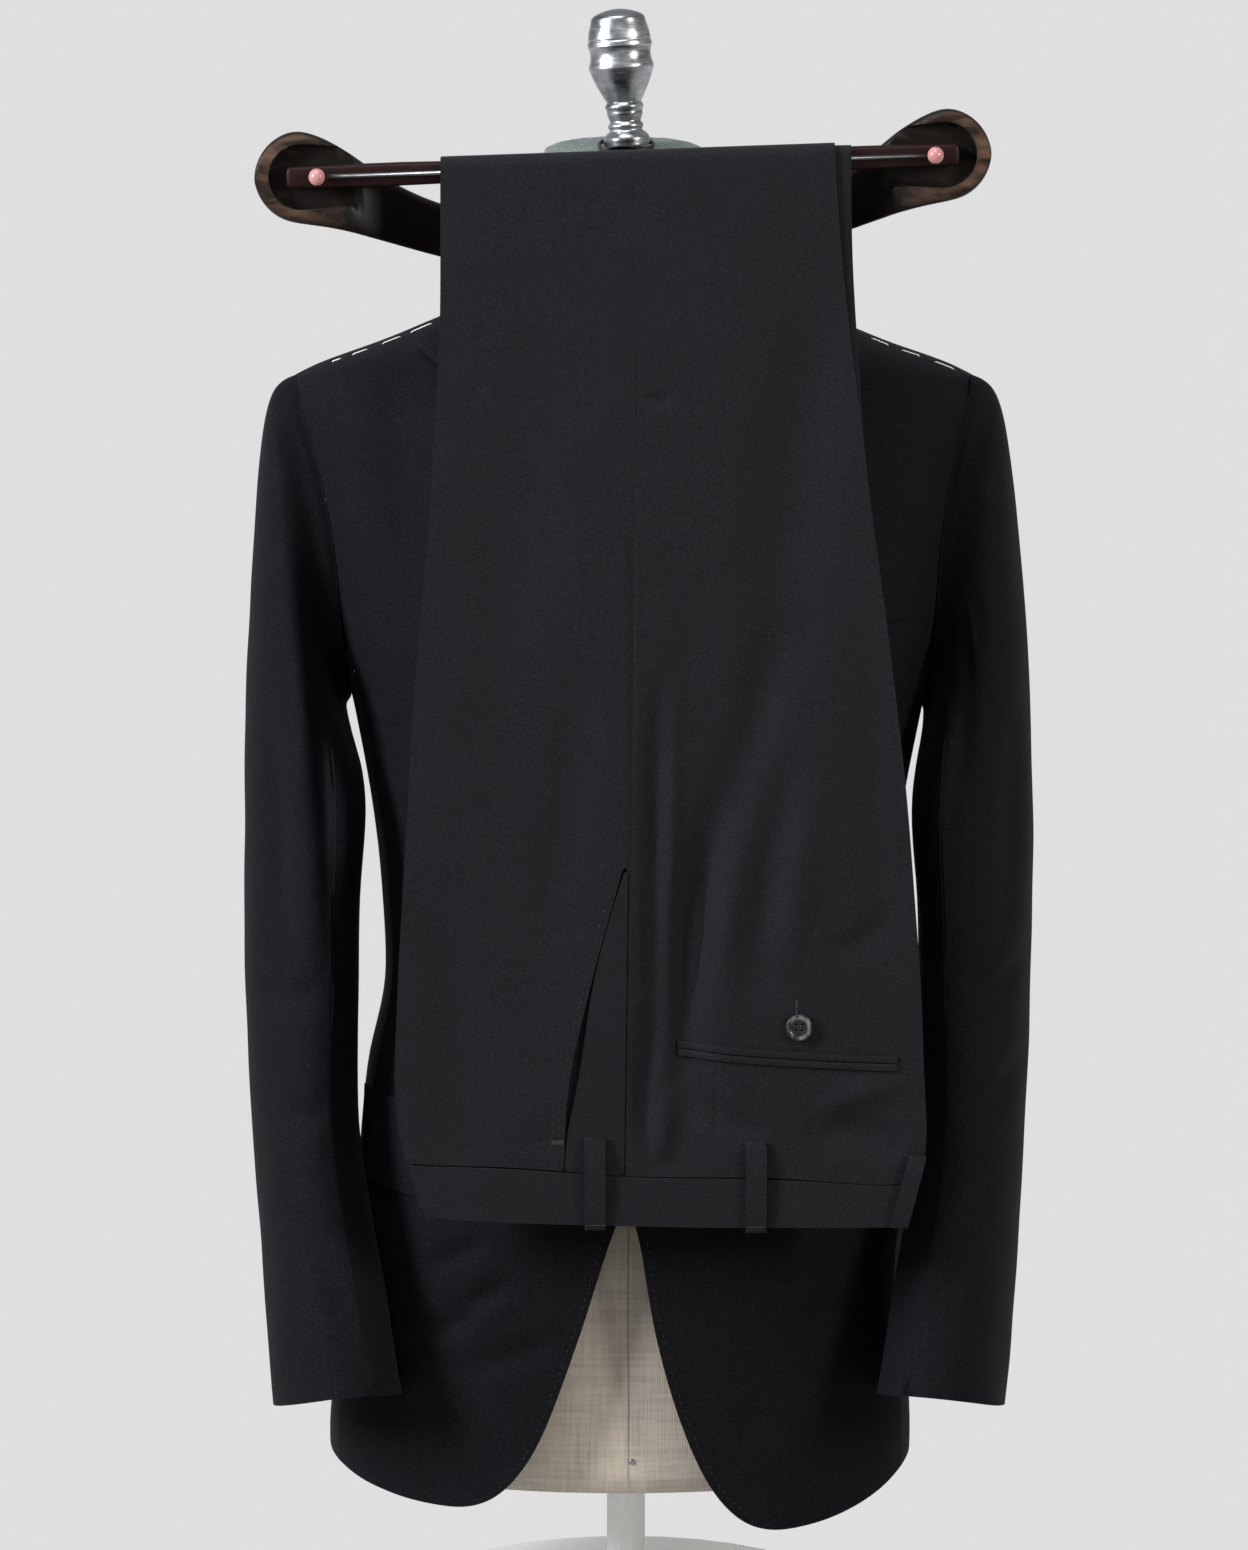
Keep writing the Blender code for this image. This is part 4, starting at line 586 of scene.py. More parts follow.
@dataclass(frozen=True)
class Panel:
    """One cloth piece: its node, its size as cut, how it hangs, its mesh levels and cut area."""

    node: str
    flat: Pair
    lay: Lay
    rests_on: tuple[str, ...]
    held: str = "draped"
    levels: int = 2
    area: float | None = None


def nearest(trees: Sequence[BVHTree], place: Vector, reach: float) -> tuple[Vector, float] | None:
    """The nearest point of several surfaces and its distance, or None out of reach."""
    hits = [hit for tree in trees if (hit := tree.find_nearest(place, reach))[0] is not None]
    if not hits:
        return None
    found, _, _, distance = min(hits, key=lambda hit: hit[3])
    return found, distance


def draw_together(pieces: Sequence[Item], reach: float, share: float,
                  levels: Pair = (0.0, 2.0)) -> None:
    """Close the seams between neighbours: points near another piece move towards it.

    Args:
        pieces: the pieces that are sewn together.
        reach: how near a point has to be to a neighbour.
        share: how much of the way it moves.
        levels: the heights between which points move.
    """
    graph = bpy.context.evaluated_depsgraph_get()
    trees = {piece.name: BVHTree.FromObject(piece, graph) for piece in pieces}
    for piece in pieces:
        others = [tree for name, tree in trees.items() if name != piece.name]
        moved = 0
        for vertex in piece.data.vertices:
            if not levels[0] < vertex.co.z < levels[1]:
                continue
            near = nearest(others, vertex.co, reach)
            if near:
                vertex.co = vertex.co.lerp(near[0], share)
                moved += 1
        LOG.info("%s: %d points drawn to its seams", piece.name, moved)


def draw_onto(piece: Item, grounds: Sequence[Item], reach: float,
              low: float, high: float) -> None:
    """Draw a sleeve's head onto the armhole, fully at the top and half at the underarm.

    Args:
        piece: the sleeve.
        grounds: the body's pieces.
        reach: how near a point has to be to move.
        low: height of the underarm.
        high: height of the shoulder.
    """
    graph = bpy.context.evaluated_depsgraph_get()
    trees = [BVHTree.FromObject(ground, graph) for ground in grounds]
    for vertex in piece.data.vertices:
        if vertex.co.z < low:
            continue
        near = nearest(trees, vertex.co, reach)
        if near:
            place, distance = near
            rise = min(1.0, (vertex.co.z - low) / (high - low))
            fade = min(1.0, 2.0 * (1.0 - distance / reach))
            vertex.co = vertex.co.lerp(place, (UNDERARM_HOLD + SHOULDER_HOLD * rise) * fade)


UNDERARM_HOLD = 0.46    # how much of the way a sleeve's head is drawn at the underarm
SHOULDER_HOLD = 0.42    # and how much more at the shoulder
# A sleeve's middle line: height, distance from the middle of the suit, depth.
SLEEVE_AXIS = ((0.815, 0.205, 0.010), (0.600, 0.2165, 0.008), (0.410, 0.2160, -0.008),
               (0.280, 0.2050, -0.045), (0.150, 0.1860, -0.100))
SLEEVES_MIDDLE = 0.0075
SLEEVE_RADIUS = 0.055
BODY_MIDDLE = 0.004
BODY_RADIUS = 0.165


def sleeve_axis(height: float, side: int) -> Vector:
    """Middle of a sleeve at a height.

    Args:
        height: z of the point.
        side: 1 for the left sleeve, -1 for the right.

    Returns:
        The point on the sleeve's middle line.
    """
    rows = SLEEVE_AXIS
    if height >= rows[0][0]:
        return Vector((0.006 + side * rows[0][1], rows[0][2], height))
    for upper, lower in zip(rows, rows[1:]):
        if height >= lower[0] or lower is rows[-1]:
            share = (upper[0] - height) / (upper[0] - lower[0])
            x = upper[1] + (lower[1] - upper[1]) * share
            y = upper[2] + (lower[2] - upper[2]) * share
            return Vector((SLEEVES_MIDDLE + side * x, y, height))
    return Vector((0.0, 0.0, height))


class Cloth:
    """Cloth pieces: cloth coordinates, folds and the soft unevenness of hanging wool."""

    def __init__(self, bench: Bench, material: bpy.types.Material, slot: str) -> None:
        """Keep the bench and the cloth's material and slot."""
        self.bench = bench
        self.material = material
        self.slot = slot

    @staticmethod
    def _frame(point: Vector, lay: Lay) -> tuple[Vector, Pair]:
        """Outward direction and cloth coordinates at a point."""
        if lay is Lay.FLAT:
            behind = -1.0 if point.y < FRONT_SIDE else 1.0
            return Vector((0.0, behind, 0.0)), (point.x, point.z)
        if lay is Lay.ROUND_BODY:
            middle, radius = Vector((BODY_MIDDLE, BODY_MIDDLE, point.z)), BODY_RADIUS
        else:
            middle = sleeve_axis(point.z, 1 if lay is Lay.LEFT_SLEEVE else -1)
            radius = SLEEVE_RADIUS
        away = point - middle
        away.z = 0.0
        turn = math.atan2(away.x, -away.y)
        if away.length < 1e-6:
            away = Vector((0.0, -1.0, 0.0))
        return away.normalized(), (turn * radius, point.z)

    def lay_folds(self, piece: Item, lay: Lay, folds: Sequence[Fold], ripple: float) -> None:
        """Push folds and a soft unevenness into a piece.

        Args:
            piece: the piece.
            lay: how its outward direction is read.
            folds: its folds.
            ripple: height of the soft unevenness, in metres.
        """
        mesh = piece.data
        outs = [self._frame(vertex.co, lay)[0] for vertex in mesh.vertices]
        places = np.array([vertex.co for vertex in mesh.vertices])
        inward = sum((fold.push(places, np.array(outs)) for fold in folds), np.zeros(len(places)))
        for vertex, out, depth in zip(mesh.vertices, outs, inward):
            place = vertex.co
            shift = sum(ripple * share * noise.noise(Vector((place.x * across, place.y * across,
                                                             place.z * along)))
                        for share, across, along in RIPPLES)
            vertex.co = place + out * (shift - float(depth))

    def make(self, panel: Panel, folds: Sequence[Fold] = (), ripple: float = 0.0006) -> Item:
        """Make a cloth piece on its node's form.

        Args:
            panel: the piece.
            folds: its folds.
            ripple: height of the soft unevenness, in metres.

        Returns:
            The finished piece.
        """
        piece = self.bench.rework(panel.node, f"{panel.node}_cloth", panel.levels)
        self.lay_folds(piece, panel.lay, folds, ripple)
        self.bench.chart(piece, lambda place: self._frame(place, panel.lay)[1])
        self.bench.finish(piece, self.material, self.slot)
        list(panel.rests_on)
        return piece


class Needle:
    """Sewing on finished cloth: short threads that lie on the surface."""

    rings = (0.0, 0.12, 0.31, 0.5, 0.69, 0.88, 1.0)
    far = 0.6          # how far off each ray starts
    longest = 0.05     # a longer thread has jumped from one piece to another
    thin_end = 0.5     # share of the radius at the ends
    dip = -0.4         # how far the ends sink into the cloth, in radii

    def __init__(self, bench: Bench, material: bpy.types.Material) -> None:
        """Keep the bench and the thread's material."""
        self.bench = bench
        self.material = material

    @staticmethod
    def surface(piece: Item) -> BVHTree:
        """A search tree of a piece's faces."""
        graph = bpy.context.evaluated_depsgraph_get()
        return BVHTree.FromObject(piece, graph)

    def _landing(self, tree: BVHTree, x: float, z: float,
                 fall: Vector) -> tuple[Vector, Vector] | None:
        """Where a ray from in front meets the cloth, and its normal there."""
        start = Vector((x, 0.0, z)) - fall * self.far
        place, normal, _, _ = tree.ray_cast(start, fall)
        return None if place is None else (place, normal)

    def _one_thread(self, radius: float) -> Item:
        """A short thread along X, one unit long, with rings that can follow the cloth."""
        bpy.ops.object.select_all(action="DESELECT")
        bpy.ops.mesh.primitive_cylinder_add(vertices=6, radius=radius, depth=1.0,
                                            rotation=(0, math.pi / 2, 0))
        thread = bpy.context.object
        bpy.ops.object.transform_apply(location=False, rotation=True, scale=False)
        for cut in self.rings[1:-1]:
            with editing():
                bpy.ops.mesh.bisect(plane_co=(cut - 0.5, 0, 0), plane_no=(1, 0, 0))
        return thread

    def _lay(self, pattern: Item, spine: list[tuple[Vector, Vector]], radius: float,
             lift: float) -> Item:
        """Lay one thread along points of the cloth; its ends dip into it."""
        stitch = pattern.copy()
        stitch.data = pattern.data.copy()
        along = (spine[-1][0] - spine[0][0]).normalized()
        for vertex in stitch.data.vertices:
            ring = min(range(len(self.rings)), key=lambda i: abs(self.rings[i] - 0.5 - vertex.co.x))
            place, up = spine[ring]
            side = up.cross(along).normalized()
            last = ring in (0, len(self.rings) - 1)
            thin = self.thin_end if last else 1.0
            rise = self.dip if last else lift
            height = vertex.co.z * thin + rise * radius
            vertex.co = place + side * vertex.co.y * thin + up * height
        bpy.context.scene.collection.objects.link(stitch)
        return stitch

    def sew(self, name: str, cloths: Sequence[Item], stitches: Sequence[tuple],
            radius: float, lift: float = 0.5, fall: Triple = (0.0, 1.0, 0.0)) -> Item | None:
        """Lay stitches on cloth and join them to one piece.

        Args:
            name: the piece's name.
            cloths: what the stitches lie on.
            stitches: each a start and an end, as (x, z).
            radius: the thread's radius.
            lift: how far its middle stands off the cloth, in radii.
            fall: the direction in which each stitch is laid on the cloth.

        Returns:
            The joined stitches, or None if none landed.
        """
        trees = [self.surface(cloth) for cloth in cloths]
        towards = Vector(fall).normalized()
        pattern = self._one_thread(radius)
        laid = []
        for (x0, z0), (x1, z1) in stitches:
            spine = []
            for share in self.rings:
                x, z = x0 + (x1 - x0) * share, z0 + (z1 - z0) * share
                hits = [hit for tree in trees if (hit := self._landing(tree, x, z, towards))]
                if hits:
                    place, up = min(hits, key=lambda hit: hit[0].dot(towards))
                    spine.append((place, -up if up.dot(towards) > 0 else up))
            if len(spine) == len(self.rings) and (spine[-1][0] - spine[0][0]).length < self.longest:
                laid.append(self._lay(pattern, spine, radius, lift))
        bpy.data.objects.remove(pattern)
        if not laid:
            LOG.warning("%s: no stitch landed", name)
            return None
        self.bench.select_only(laid[0])
        for stitch in laid:
            stitch.select_set(True)
        bpy.ops.object.join()
        piece = bpy.context.object
        piece.name = name
        with editing():
            bpy.ops.mesh.normals_make_consistent(inside=False)
        bpy.ops.object.shade_smooth()
        coat(piece, self.material)
        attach(piece, BODY)
        LOG.info("%s: %d stitches", name, len(laid))
        return piece

    @staticmethod
    def along(path: Sequence[Pair], pitch: float, length: float) -> list[tuple]:
        """Evenly spaced stitches along a line of (x, z) points."""
        result = []
        travelled = 0.0
        following = pitch / 2
        for (x0, z0), (x1, z1) in zip(path, path[1:]):
            span = math.hypot(x1 - x0, z1 - z0)
            while following < travelled + span:
                share = (following - travelled) / span
                reach = length / 2 / span
                result.append(tuple((x0 + (x1 - x0) * end, z0 + (z1 - z0) * end)
                                    for end in (share - reach, share + reach)))
                following += pitch
            travelled += span
        return result


@dataclass
class Jacket:
    """The jacket: body panels, lapels, collar, sleeves, flaps, welt and buttons."""

    bench: Bench
    wool: bpy.types.Material
    horn: bpy.types.Material
    basting: bpy.types.Material
    silk: bpy.types.Material
    front_flat: Pair = (0.30, 0.80)
    side_flat: Pair = (0.105, 0.55)
    back_flat: Pair = (0.26, 0.78)
    sleeve_top_flat: Pair = (0.23, 0.68)
    sleeve_under_flat: Pair = (0.155, 0.60)
    sight: Triple = (0.0, 0.9986, -0.053)
    crest_search: Triple = (0.900, 0.75, 0.0003)
    crest_drop: float = 0.0030
    leaf_x: float = 0.107
    leaf_pull: float = 0.75
    leaf_foot: float = 0.838
    leaf_span: float = 0.010
    collar_radius: float = 0.11
    shoulder_slope: float = 0.35
    lapel_tip: float = 0.145
    lapel_width: float = 0.080
    lapel_lift: Pair = (0.0012, 0.0120)
    hip_fill: float = 0.009
    hip_x: Pair = (0.110, 0.050)
    hip_z: Pair = (0.310, 0.060)
    sleeve_swing: float = 0.004
    swing_z: Pair = (0.250, 0.050)
    swing_width: float = 0.040
    cuff_top: float = 0.210
    cuff_span: float = 0.060
    cuff_slope: float = 0.16
    body_ripple: float = 0.0009
    sleeve_ripple: float = 0.0012

    # Basting stitches on the shoulders, each from one x to another.
    BASTING = ((-0.137, -0.123), (-0.155, -0.143), (-0.174, -0.164), (-0.187, -0.181),
               (0.156, 0.167), (0.175, 0.187), (0.196, 0.209))
    # The two fronts' lower edges, as (x, z).
    EDGES = (
        ((-0.082, 0.114), (-0.0630, 0.1376), (-0.0478, 0.1739), (-0.0333, 0.2160),
         (-0.0221, 0.2500), (-0.0136, 0.2804)),
        ((0.078, 0.098), (0.0640, 0.1100), (0.0508, 0.1310), (0.0375, 0.1640),
         (0.0278, 0.1960), (0.0188, 0.2360), (0.0125, 0.2823)),
    )
    FRONT_FOLDS = (
        Fold(((-0.150, 0.204), (-0.112, 0.219), (-0.095, 0.222)), 0.0051, 0.0070),
        Fold(((-0.112, 0.224), (-0.070, 0.252)), 0.0054, 0.0070),
        Fold(((-0.130, 0.252), (-0.087, 0.275)), 0.0045, 0.0065),
        Fold(((-0.112, 0.188), (-0.039, 0.212)), 0.0048, 0.0085),
        Fold(((0.070, 0.172), (0.098, 0.145)), 0.0022, 0.0080),
        Fold(((0.145, 0.235), (0.118, 0.222), (0.100, 0.224)), 0.0039, 0.0080),
        Fold(((0.150, 0.420), (0.120, 0.398), (0.075, 0.392)), 0.0036, 0.0090),
        Fold(((-0.150, 0.425), (-0.122, 0.402), (-0.080, 0.395)), 0.0039, 0.0090),
        Fold(((-0.155, 0.475), (-0.125, 0.462), (-0.090, 0.464)), 0.0027, 0.0080),
        Fold(((-0.134, 0.850), (-0.147, 0.778), (-0.139, 0.715), (-0.125, 0.650)),
             0.0080, 0.0170),
        Fold(((-0.176, 0.640), (-0.165, 0.605), (-0.150, 0.560)), 0.0039, 0.0100),
        Fold(((0.190, 0.650), (0.180, 0.612), (0.165, 0.560)), 0.0039, 0.0100),
    )
    BACK_FOLDS = (
        Fold(((-0.150, 0.430), (-0.110, 0.410), (-0.060, 0.405)), 0.0036, 0.0100, True),
        Fold(((0.160, 0.440), (0.118, 0.418), (0.070, 0.412)), 0.0034, 0.0100, True),
        Fold(((-0.160, 0.610), (-0.140, 0.640), (-0.125, 0.700)), 0.0036, 0.0110, True),
        Fold(((0.172, 0.610), (0.152, 0.645), (0.138, 0.700)), 0.0036, 0.0110, True),
        Fold(((0.050, 0.330), (0.035, 0.250), (0.045, 0.180)), 0.0025, 0.0140, True),
        Fold(((-0.120, 0.285), (-0.105, 0.210)), 0.0025, 0.0120, True),
    )

    RIGHT_SLEEVE_FOLDS = (
        Fold(((-0.228, 0.600), (-0.2215, 0.560), (-0.2185, 0.480), (-0.2175, 0.415)),
             0.0051, 0.0075),
        Fold(((-0.2045, 0.650), (-0.2065, 0.560), (-0.1975, 0.430)), -0.0037, 0.0100),
        Fold(((-0.1985, 0.690), (-0.1915, 0.600), (-0.1855, 0.520), (-0.1825, 0.440)),
             0.0068, 0.0085),
        Fold(((-0.242, 0.446), (-0.2175, 0.424), (-0.1925, 0.430)), 0.0041, 0.0080),
        Fold(((-0.238, 0.376), (-0.2145, 0.352), (-0.1885, 0.350)), 0.0044, 0.0090),
        Fold(((-0.2105, 0.300), (-0.1885, 0.262), (-0.1725, 0.205)), 0.0037, 0.0090),
    )
    LEFT_SLEEVE_FOLDS = (
        Fold(((0.2215, 0.690), (0.2135, 0.610), (0.2055, 0.520)), 0.0061, 0.0090),
        Fold(((0.2475, 0.620), (0.2435, 0.540), (0.2415, 0.450)), 0.0041, 0.0090),
        Fold(((0.262, 0.456), (0.2395, 0.432), (0.2135, 0.436)), 0.0044, 0.0080),
        Fold(((0.260, 0.390), (0.2355, 0.362), (0.2075, 0.358)), 0.0048, 0.0090),
        Fold(((0.2435, 0.330), (0.2175, 0.290), (0.1975, 0.230)), 0.0037, 0.0100),
    )

    def make(self) -> None:
        """Make the whole jacket."""
        cloth = Cloth(self.bench, self.wool, "jacket_wool")
        body = Lay.ROUND_BODY
        for wearer in ("right", "left"):
            left = wearer == "left"
            form, front = ("dress_form",), (f"jacket_front_{wearer}",)
            panels = (
                (Panel(f"jacket_front_{wearer}", self.front_flat, body, form, levels=3,
                       area=0.150 if left else 0.140), self.FRONT_FOLDS),
                (Panel(f"jacket_side_{wearer}", self.side_flat, body, form, area=0.044), ()),
                (Panel(f"jacket_back_{wearer}", self.back_flat, body, form, area=0.156),
                 self.BACK_FOLDS),
                (Panel(f"lapel_{wearer}", (0.10, 0.42 if left else 0.32), body, front,
                       area=0.0217 if left else 0.0190), ()),
                (Panel(f"hip_flap_{wearer}", (0.105, 0.060), body, front), self.FRONT_FOLDS),
            )
            for panel, folds in panels:
                cloth.make(panel, folds, self.body_ripple)
            lay = Lay.LEFT_SLEEVE if left else Lay.RIGHT_SLEEVE
            folds = self.LEFT_SLEEVE_FOLDS if left else self.RIGHT_SLEEVE_FOLDS
            for part, flat, levels, area in (("top", self.sleeve_top_flat, 3, 0.126),
                                             ("under", self.sleeve_under_flat, 2, 0.0835)):
                cloth.make(Panel(f"sleeve_{part}_{wearer}", flat, lay, front, "hung", levels, area),
                           folds, self.sleeve_ripple)
        cloth.make(Panel("breast_welt", (0.115, 0.026), body, ("jacket_front_left",)),
                   self.FRONT_FOLDS, self.body_ripple)
        self._collar()
        self._shape()
        self._close_seams()
        for number in (1, 2):
            self.bench.horn_button(f"front_button_{number}", self.horn)
        self._stitching()

    def _crest(self, trees: Sequence[BVHTree], x: float) -> float:
        """Height at which the shoulder's outline ends, as seen from the front."""
        sight = Vector(self.sight).normalized()
        z, floor, step = self.crest_search
        while z > floor:
            start = Vector((x, 0.0, z)) - sight * Needle.far
            if any(tree.ray_cast(start, sight)[0] is not None for tree in trees):
                return z
            z -= step
        return z

    def _shape(self) -> None:
        """Lift the lapels off the chest, fill out the left hip and level the cuffs."""
        made = self.bench.made
        flush, roll = self.lapel_lift
        for wearer in ("right", "left"):
            for vertex in made[f"lapel_{wearer}_cloth"].data.vertices:
                inward = clamp((self.lapel_tip - abs(vertex.co.x)) / self.lapel_width)
                vertex.co.y -= flush + roll * inward
        (hip_from, hip_span), (hip_height, hip_reach) = self.hip_x, self.hip_z
        for part in ("jacket_front", "jacket_side", "jacket_back", "hip_flap"):
            for vertex in made[f"{part}_left_cloth"].data.vertices:
                out = clamp((vertex.co.x - hip_from) / hip_span)
                vertex.co.x += self.hip_fill * out * bell(vertex.co.z - hip_height, hip_reach)
        swing_height, swing_reach = self.swing_z
        for wearer, side in (("right", -1), ("left", 1)):
            for part in ("top", "under"):
                for vertex in made[f"sleeve_{part}_{wearer}_cloth"].data.vertices:
                    axis = sleeve_axis(vertex.co.z, side)
                    inner = clamp(side * (axis.x - vertex.co.x) / self.swing_width)
                    near_hip = bell(vertex.co.z - swing_height, swing_reach)
                    vertex.co.x -= side * self.sleeve_swing * inner * near_hip
                    low = clamp((self.cuff_top - vertex.co.z) / self.cuff_span)
                    vertex.co.z += self.cuff_slope * (vertex.co.y - axis.y) * low

    def _close_seams(self) -> None:
        """Draw the body panels together, then each sleeve's panels and its head to the armhole."""
        made = self.bench.made
        body = [made[f"jacket_{part}_{wearer}_cloth"] for part in ("front", "side", "back")
                for wearer in ("right", "left")]
        backs = body[4:]
        draw_together(body, 0.0014, 0.51)
        draw_together(backs, 0.0045, 0.51)
        for wearer in ("right", "left"):
            halves = [made[f"sleeve_{part}_{wearer}_cloth"] for part in ("top", "under")]
            draw_together(halves, 0.0014, 0.51)
            for half in halves:
                draw_onto(half, body, 0.0060, 0.600, 0.780)

    def _collar(self) -> None:
        """The collar: a padded leaf and stand, finished as one piece of cloth."""
        piece = self.bench.rework("collar", "collar_cloth", 2, 60.0)
        for vertex in piece.data.vertices:
            side = 1.0 if vertex.co.x > 0 else -1.0
            past = side * vertex.co.x - self.leaf_x
            hold = clamp((vertex.co.z - self.leaf_foot) / self.leaf_span)
            if past > 0:
                vertex.co.x -= side * past * self.leaf_pull * hold
                vertex.co.z += past * self.leaf_pull * hold * self.shoulder_slope
        self.bench.chart(piece, lambda place: (math.atan2(place.x, -place.y) * self.collar_radius,
                                               place.z))
        self.bench.finish(piece, self.wool, "jacket_wool")

    def _stitching(self) -> None:
        """White basting along the shoulder seams, pick stitches down the front edges."""
        needle = Needle(self.bench, self.basting)
        fronts = [self.bench.made[f"jacket_front_{w}_cloth"] for w in ("right", "left")]
        fronts += [self.bench.made[f"sleeve_top_{w}_cloth"] for w in ("right", "left")]
        trees = [needle.surface(front) for front in fronts]
        dashes = [tuple((x, self._crest(trees, x) - self.crest_drop) for x in span)
                  for span in self.BASTING]
        needle.sew("basting_shoulders", fronts, dashes, 0.00042, 0.8, self.sight)
        silk = Needle(self.bench, self.silk)
        picks = [stitch for edge in self.EDGES for stitch in silk.along(edge, 0.0050, 0.0016)]
        silk.sew("pick_stitches_fronts", fronts, picks, 0.00020)


@dataclass
class Trousers:
    """The folded trousers: panels, hidden layers, waistband, loops, pockets."""

    bench: Bench
    wool: bpy.types.Material
    horn: bpy.types.Material
    silk: bpy.types.Material
    tack: bpy.types.Material
    pale: bpy.types.Material
    front_flat: Pair = (0.160, 0.80)
    back_flat: Pair = (0.195, 0.80)
    layer_gap: float = 0.0005
    thread_arm: float = 0.0015
    ripple: float = 0.0006

    # The slant pocket's edge, as (x, z).
    SLANT = ((-0.0420, 0.345), (-0.0408, 0.373), (-0.0360, 0.4044), (-0.0268, 0.4414),
             (-0.0182, 0.4784), (-0.0098, 0.5040))

    FOLDS = (
        Fold(((0.0036, 0.945), (0.0036, 0.700), (0.0036, 0.500)), 0.0009, 0.0016),
        Fold(((0.020, 0.640), (0.017, 0.520), (0.016, 0.380)), 0.0046, 0.0060),
        Fold(((0.030, 0.640), (0.028, 0.500), (0.026, 0.380)), -0.0025, 0.0050),
        Fold(((0.100, 0.680), (0.066, 0.570), (0.044, 0.490), (0.038, 0.420), (0.035, 0.325)),
             0.0110, 0.0140),
        Fold(((0.074, 0.630), (0.060, 0.520), (0.056, 0.410)), -0.0049, 0.0120),
        Fold(((0.104, 0.600), (0.088, 0.510), (0.082, 0.430)), 0.0046, 0.0120),
        Fold(((0.116, 0.580), (0.104, 0.500), (0.100, 0.450)), -0.0029, 0.0120),
        Fold(((0.015, 0.435), (0.012, 0.380), (0.017, 0.325)), 0.0046, 0.0065),
        Fold(((0.030, 0.385), (0.022, 0.352), (0.024, 0.335)), -0.0034, 0.0075),
        Fold(((0.044, 0.388), (0.062, 0.362), (0.088, 0.350)), 0.0038, 0.0085),
        Fold(((0.170, 0.340), (0.140, 0.356), (0.112, 0.350)), 0.0042, 0.0110),
        Fold(((0.176, 0.388), (0.148, 0.380), (0.120, 0.368)), -0.0030, 0.0090),
        Fold(((0.122, 0.466), (0.146, 0.474), (0.172, 0.500)), 0.0023, 0.0090),
        Fold(((0.126, 0.900), (0.104, 0.770), (0.092, 0.640)), 0.0042, 0.0220),
        Fold(((0.056, 0.396), (0.056, 0.350)), 0.0009, 0.0016),
        Fold(((0.1180, 0.394), (0.1135, 0.334)), 0.0009, 0.0016),
        Fold(((-0.050, 0.900), (-0.070, 0.700), (-0.066, 0.420)), 0.0027, 0.0300),
        Fold(((-0.124, 0.520), (-0.104, 0.420), (-0.096, 0.330)), 0.0034, 0.0180),
        Fold(((-0.026, 0.660), (-0.034, 0.560), (-0.050, 0.440)), 0.0027, 0.0150),
        Fold(((0.146, 0.700), (0.156, 0.560), (0.164, 0.440)), 0.0023, 0.0150),
        Fold(((0.004, 0.814), (0.018, 0.808), (0.032, 0.812)), 0.0019, 0.0028),
    )

    def make(self) -> None:
        """Make the whole pair, folded over the bar."""
        cloth = Cloth(self.bench, self.wool, "trouser_wool")
        flat, bar = Lay.FLAT, ("hanger_bar",)
        front, back = (cloth.make(Panel(f"trouser_{part}", cut, flat, bar, "folded", 4), self.FOLDS)
                       for part, cut in (("front", self.front_flat), ("back", self.back_flat)))
        small = [Panel("pocket_facing", (0.045, 0.190), flat, ("trouser_layers",), levels=3,
                       area=0.0046),
                 Panel("waistband", (0.315, 0.036), flat, ("trouser_front",))]
        small += [Panel(f"belt_loop_{place}", (0.0130, length), flat, ("waistband",))
                  for place, length in (("front", 0.064), ("side", 0.064), ("back", 0.048))]
        small += [Panel(f"back_pocket_welt_{edge}", (0.1365, 0.0104), flat, ("trouser_back",),
                        "folded", 4, 0.00071) for edge in ("upper", "lower")]
        for panel in small:
            cloth.make(panel, self.FOLDS)
        draw_together([front, back], 0.0046, 0.46, (0.498, 0.560))
        draw_together([front, back], 0.0014, 0.44)
        self._layers(cloth)
        button = self.bench.horn_button("back_pocket_button", self.horn)
        self._stitching(front, back, button)

    def _layers(self, cloth: Cloth) -> None:
        """The hidden layers, as one soft stack that gives way to the folds in front of it."""
        piece = self.bench.rework("trouser_layers", "trouser_layers_cloth", 3, 38.0)
        cloth.lay_folds(piece, Lay.FLAT, self.FOLDS, self.ripple)
        for vertex in piece.data.vertices:
            if vertex.co.y < FRONT_SIDE:
                vertex.co.y += self.layer_gap
        self.bench.chart(piece, lambda place: (place.x, place.z))
        self.bench.finish(piece, self.wool, "trouser_wool")

    def _stitching(self, front: Item, back: Item,
                   button: Item) -> None:
        """Pick stitches on the slant pocket, bar tacks, and the button's hole and thread."""
        silk = Needle(self.bench, self.silk)
        silk.sew("pick_stitches_pocket", [front], silk.along(self.SLANT, 0.0048, 0.0017), 0.00020)
        tack = Needle(self.bench, self.tack)
        bars = [((x + step * i, low), (x + step * i, high))
                for x, step, count, low, high in ((-0.0458, 0.0011, 7, 0.3462, 0.3494),
                                                  (-0.0800, 0.0010, 3, 0.3312, 0.3360))
                for i in range(count)]
        tack.sew("pocket_bar_tacks", [front], bars, 0.00028)
        loops = [self.bench.made[f"belt_loop_{place}_cloth"] for place in ("front", "side", "back")]
        ends = [((x - 0.0052 + 0.0015 * i, z), (x - 0.0042 + 0.0015 * i, z))
                for x, z in ((-0.0193, 0.2962), (0.0808, 0.2950)) for i in range(8)]
        tack.sew("belt_loop_tacks", loops, ends, 0.00026)
        hole = [((0.1048 + 0.0004 * (i % 2), 0.4292 + 0.00062 * i),
                 (0.1068 - 0.0004 * (i % 2), 0.4294 + 0.00062 * i)) for i in range(14)]
        silk.sew("buttonhole", [back], hole, 0.00030)
        places = [vertex.co for vertex in button.data.vertices]
        x = sum(place.x for place in places) / len(places)
        z = sum(place.z for place in places) / len(places)
        arm = self.thread_arm
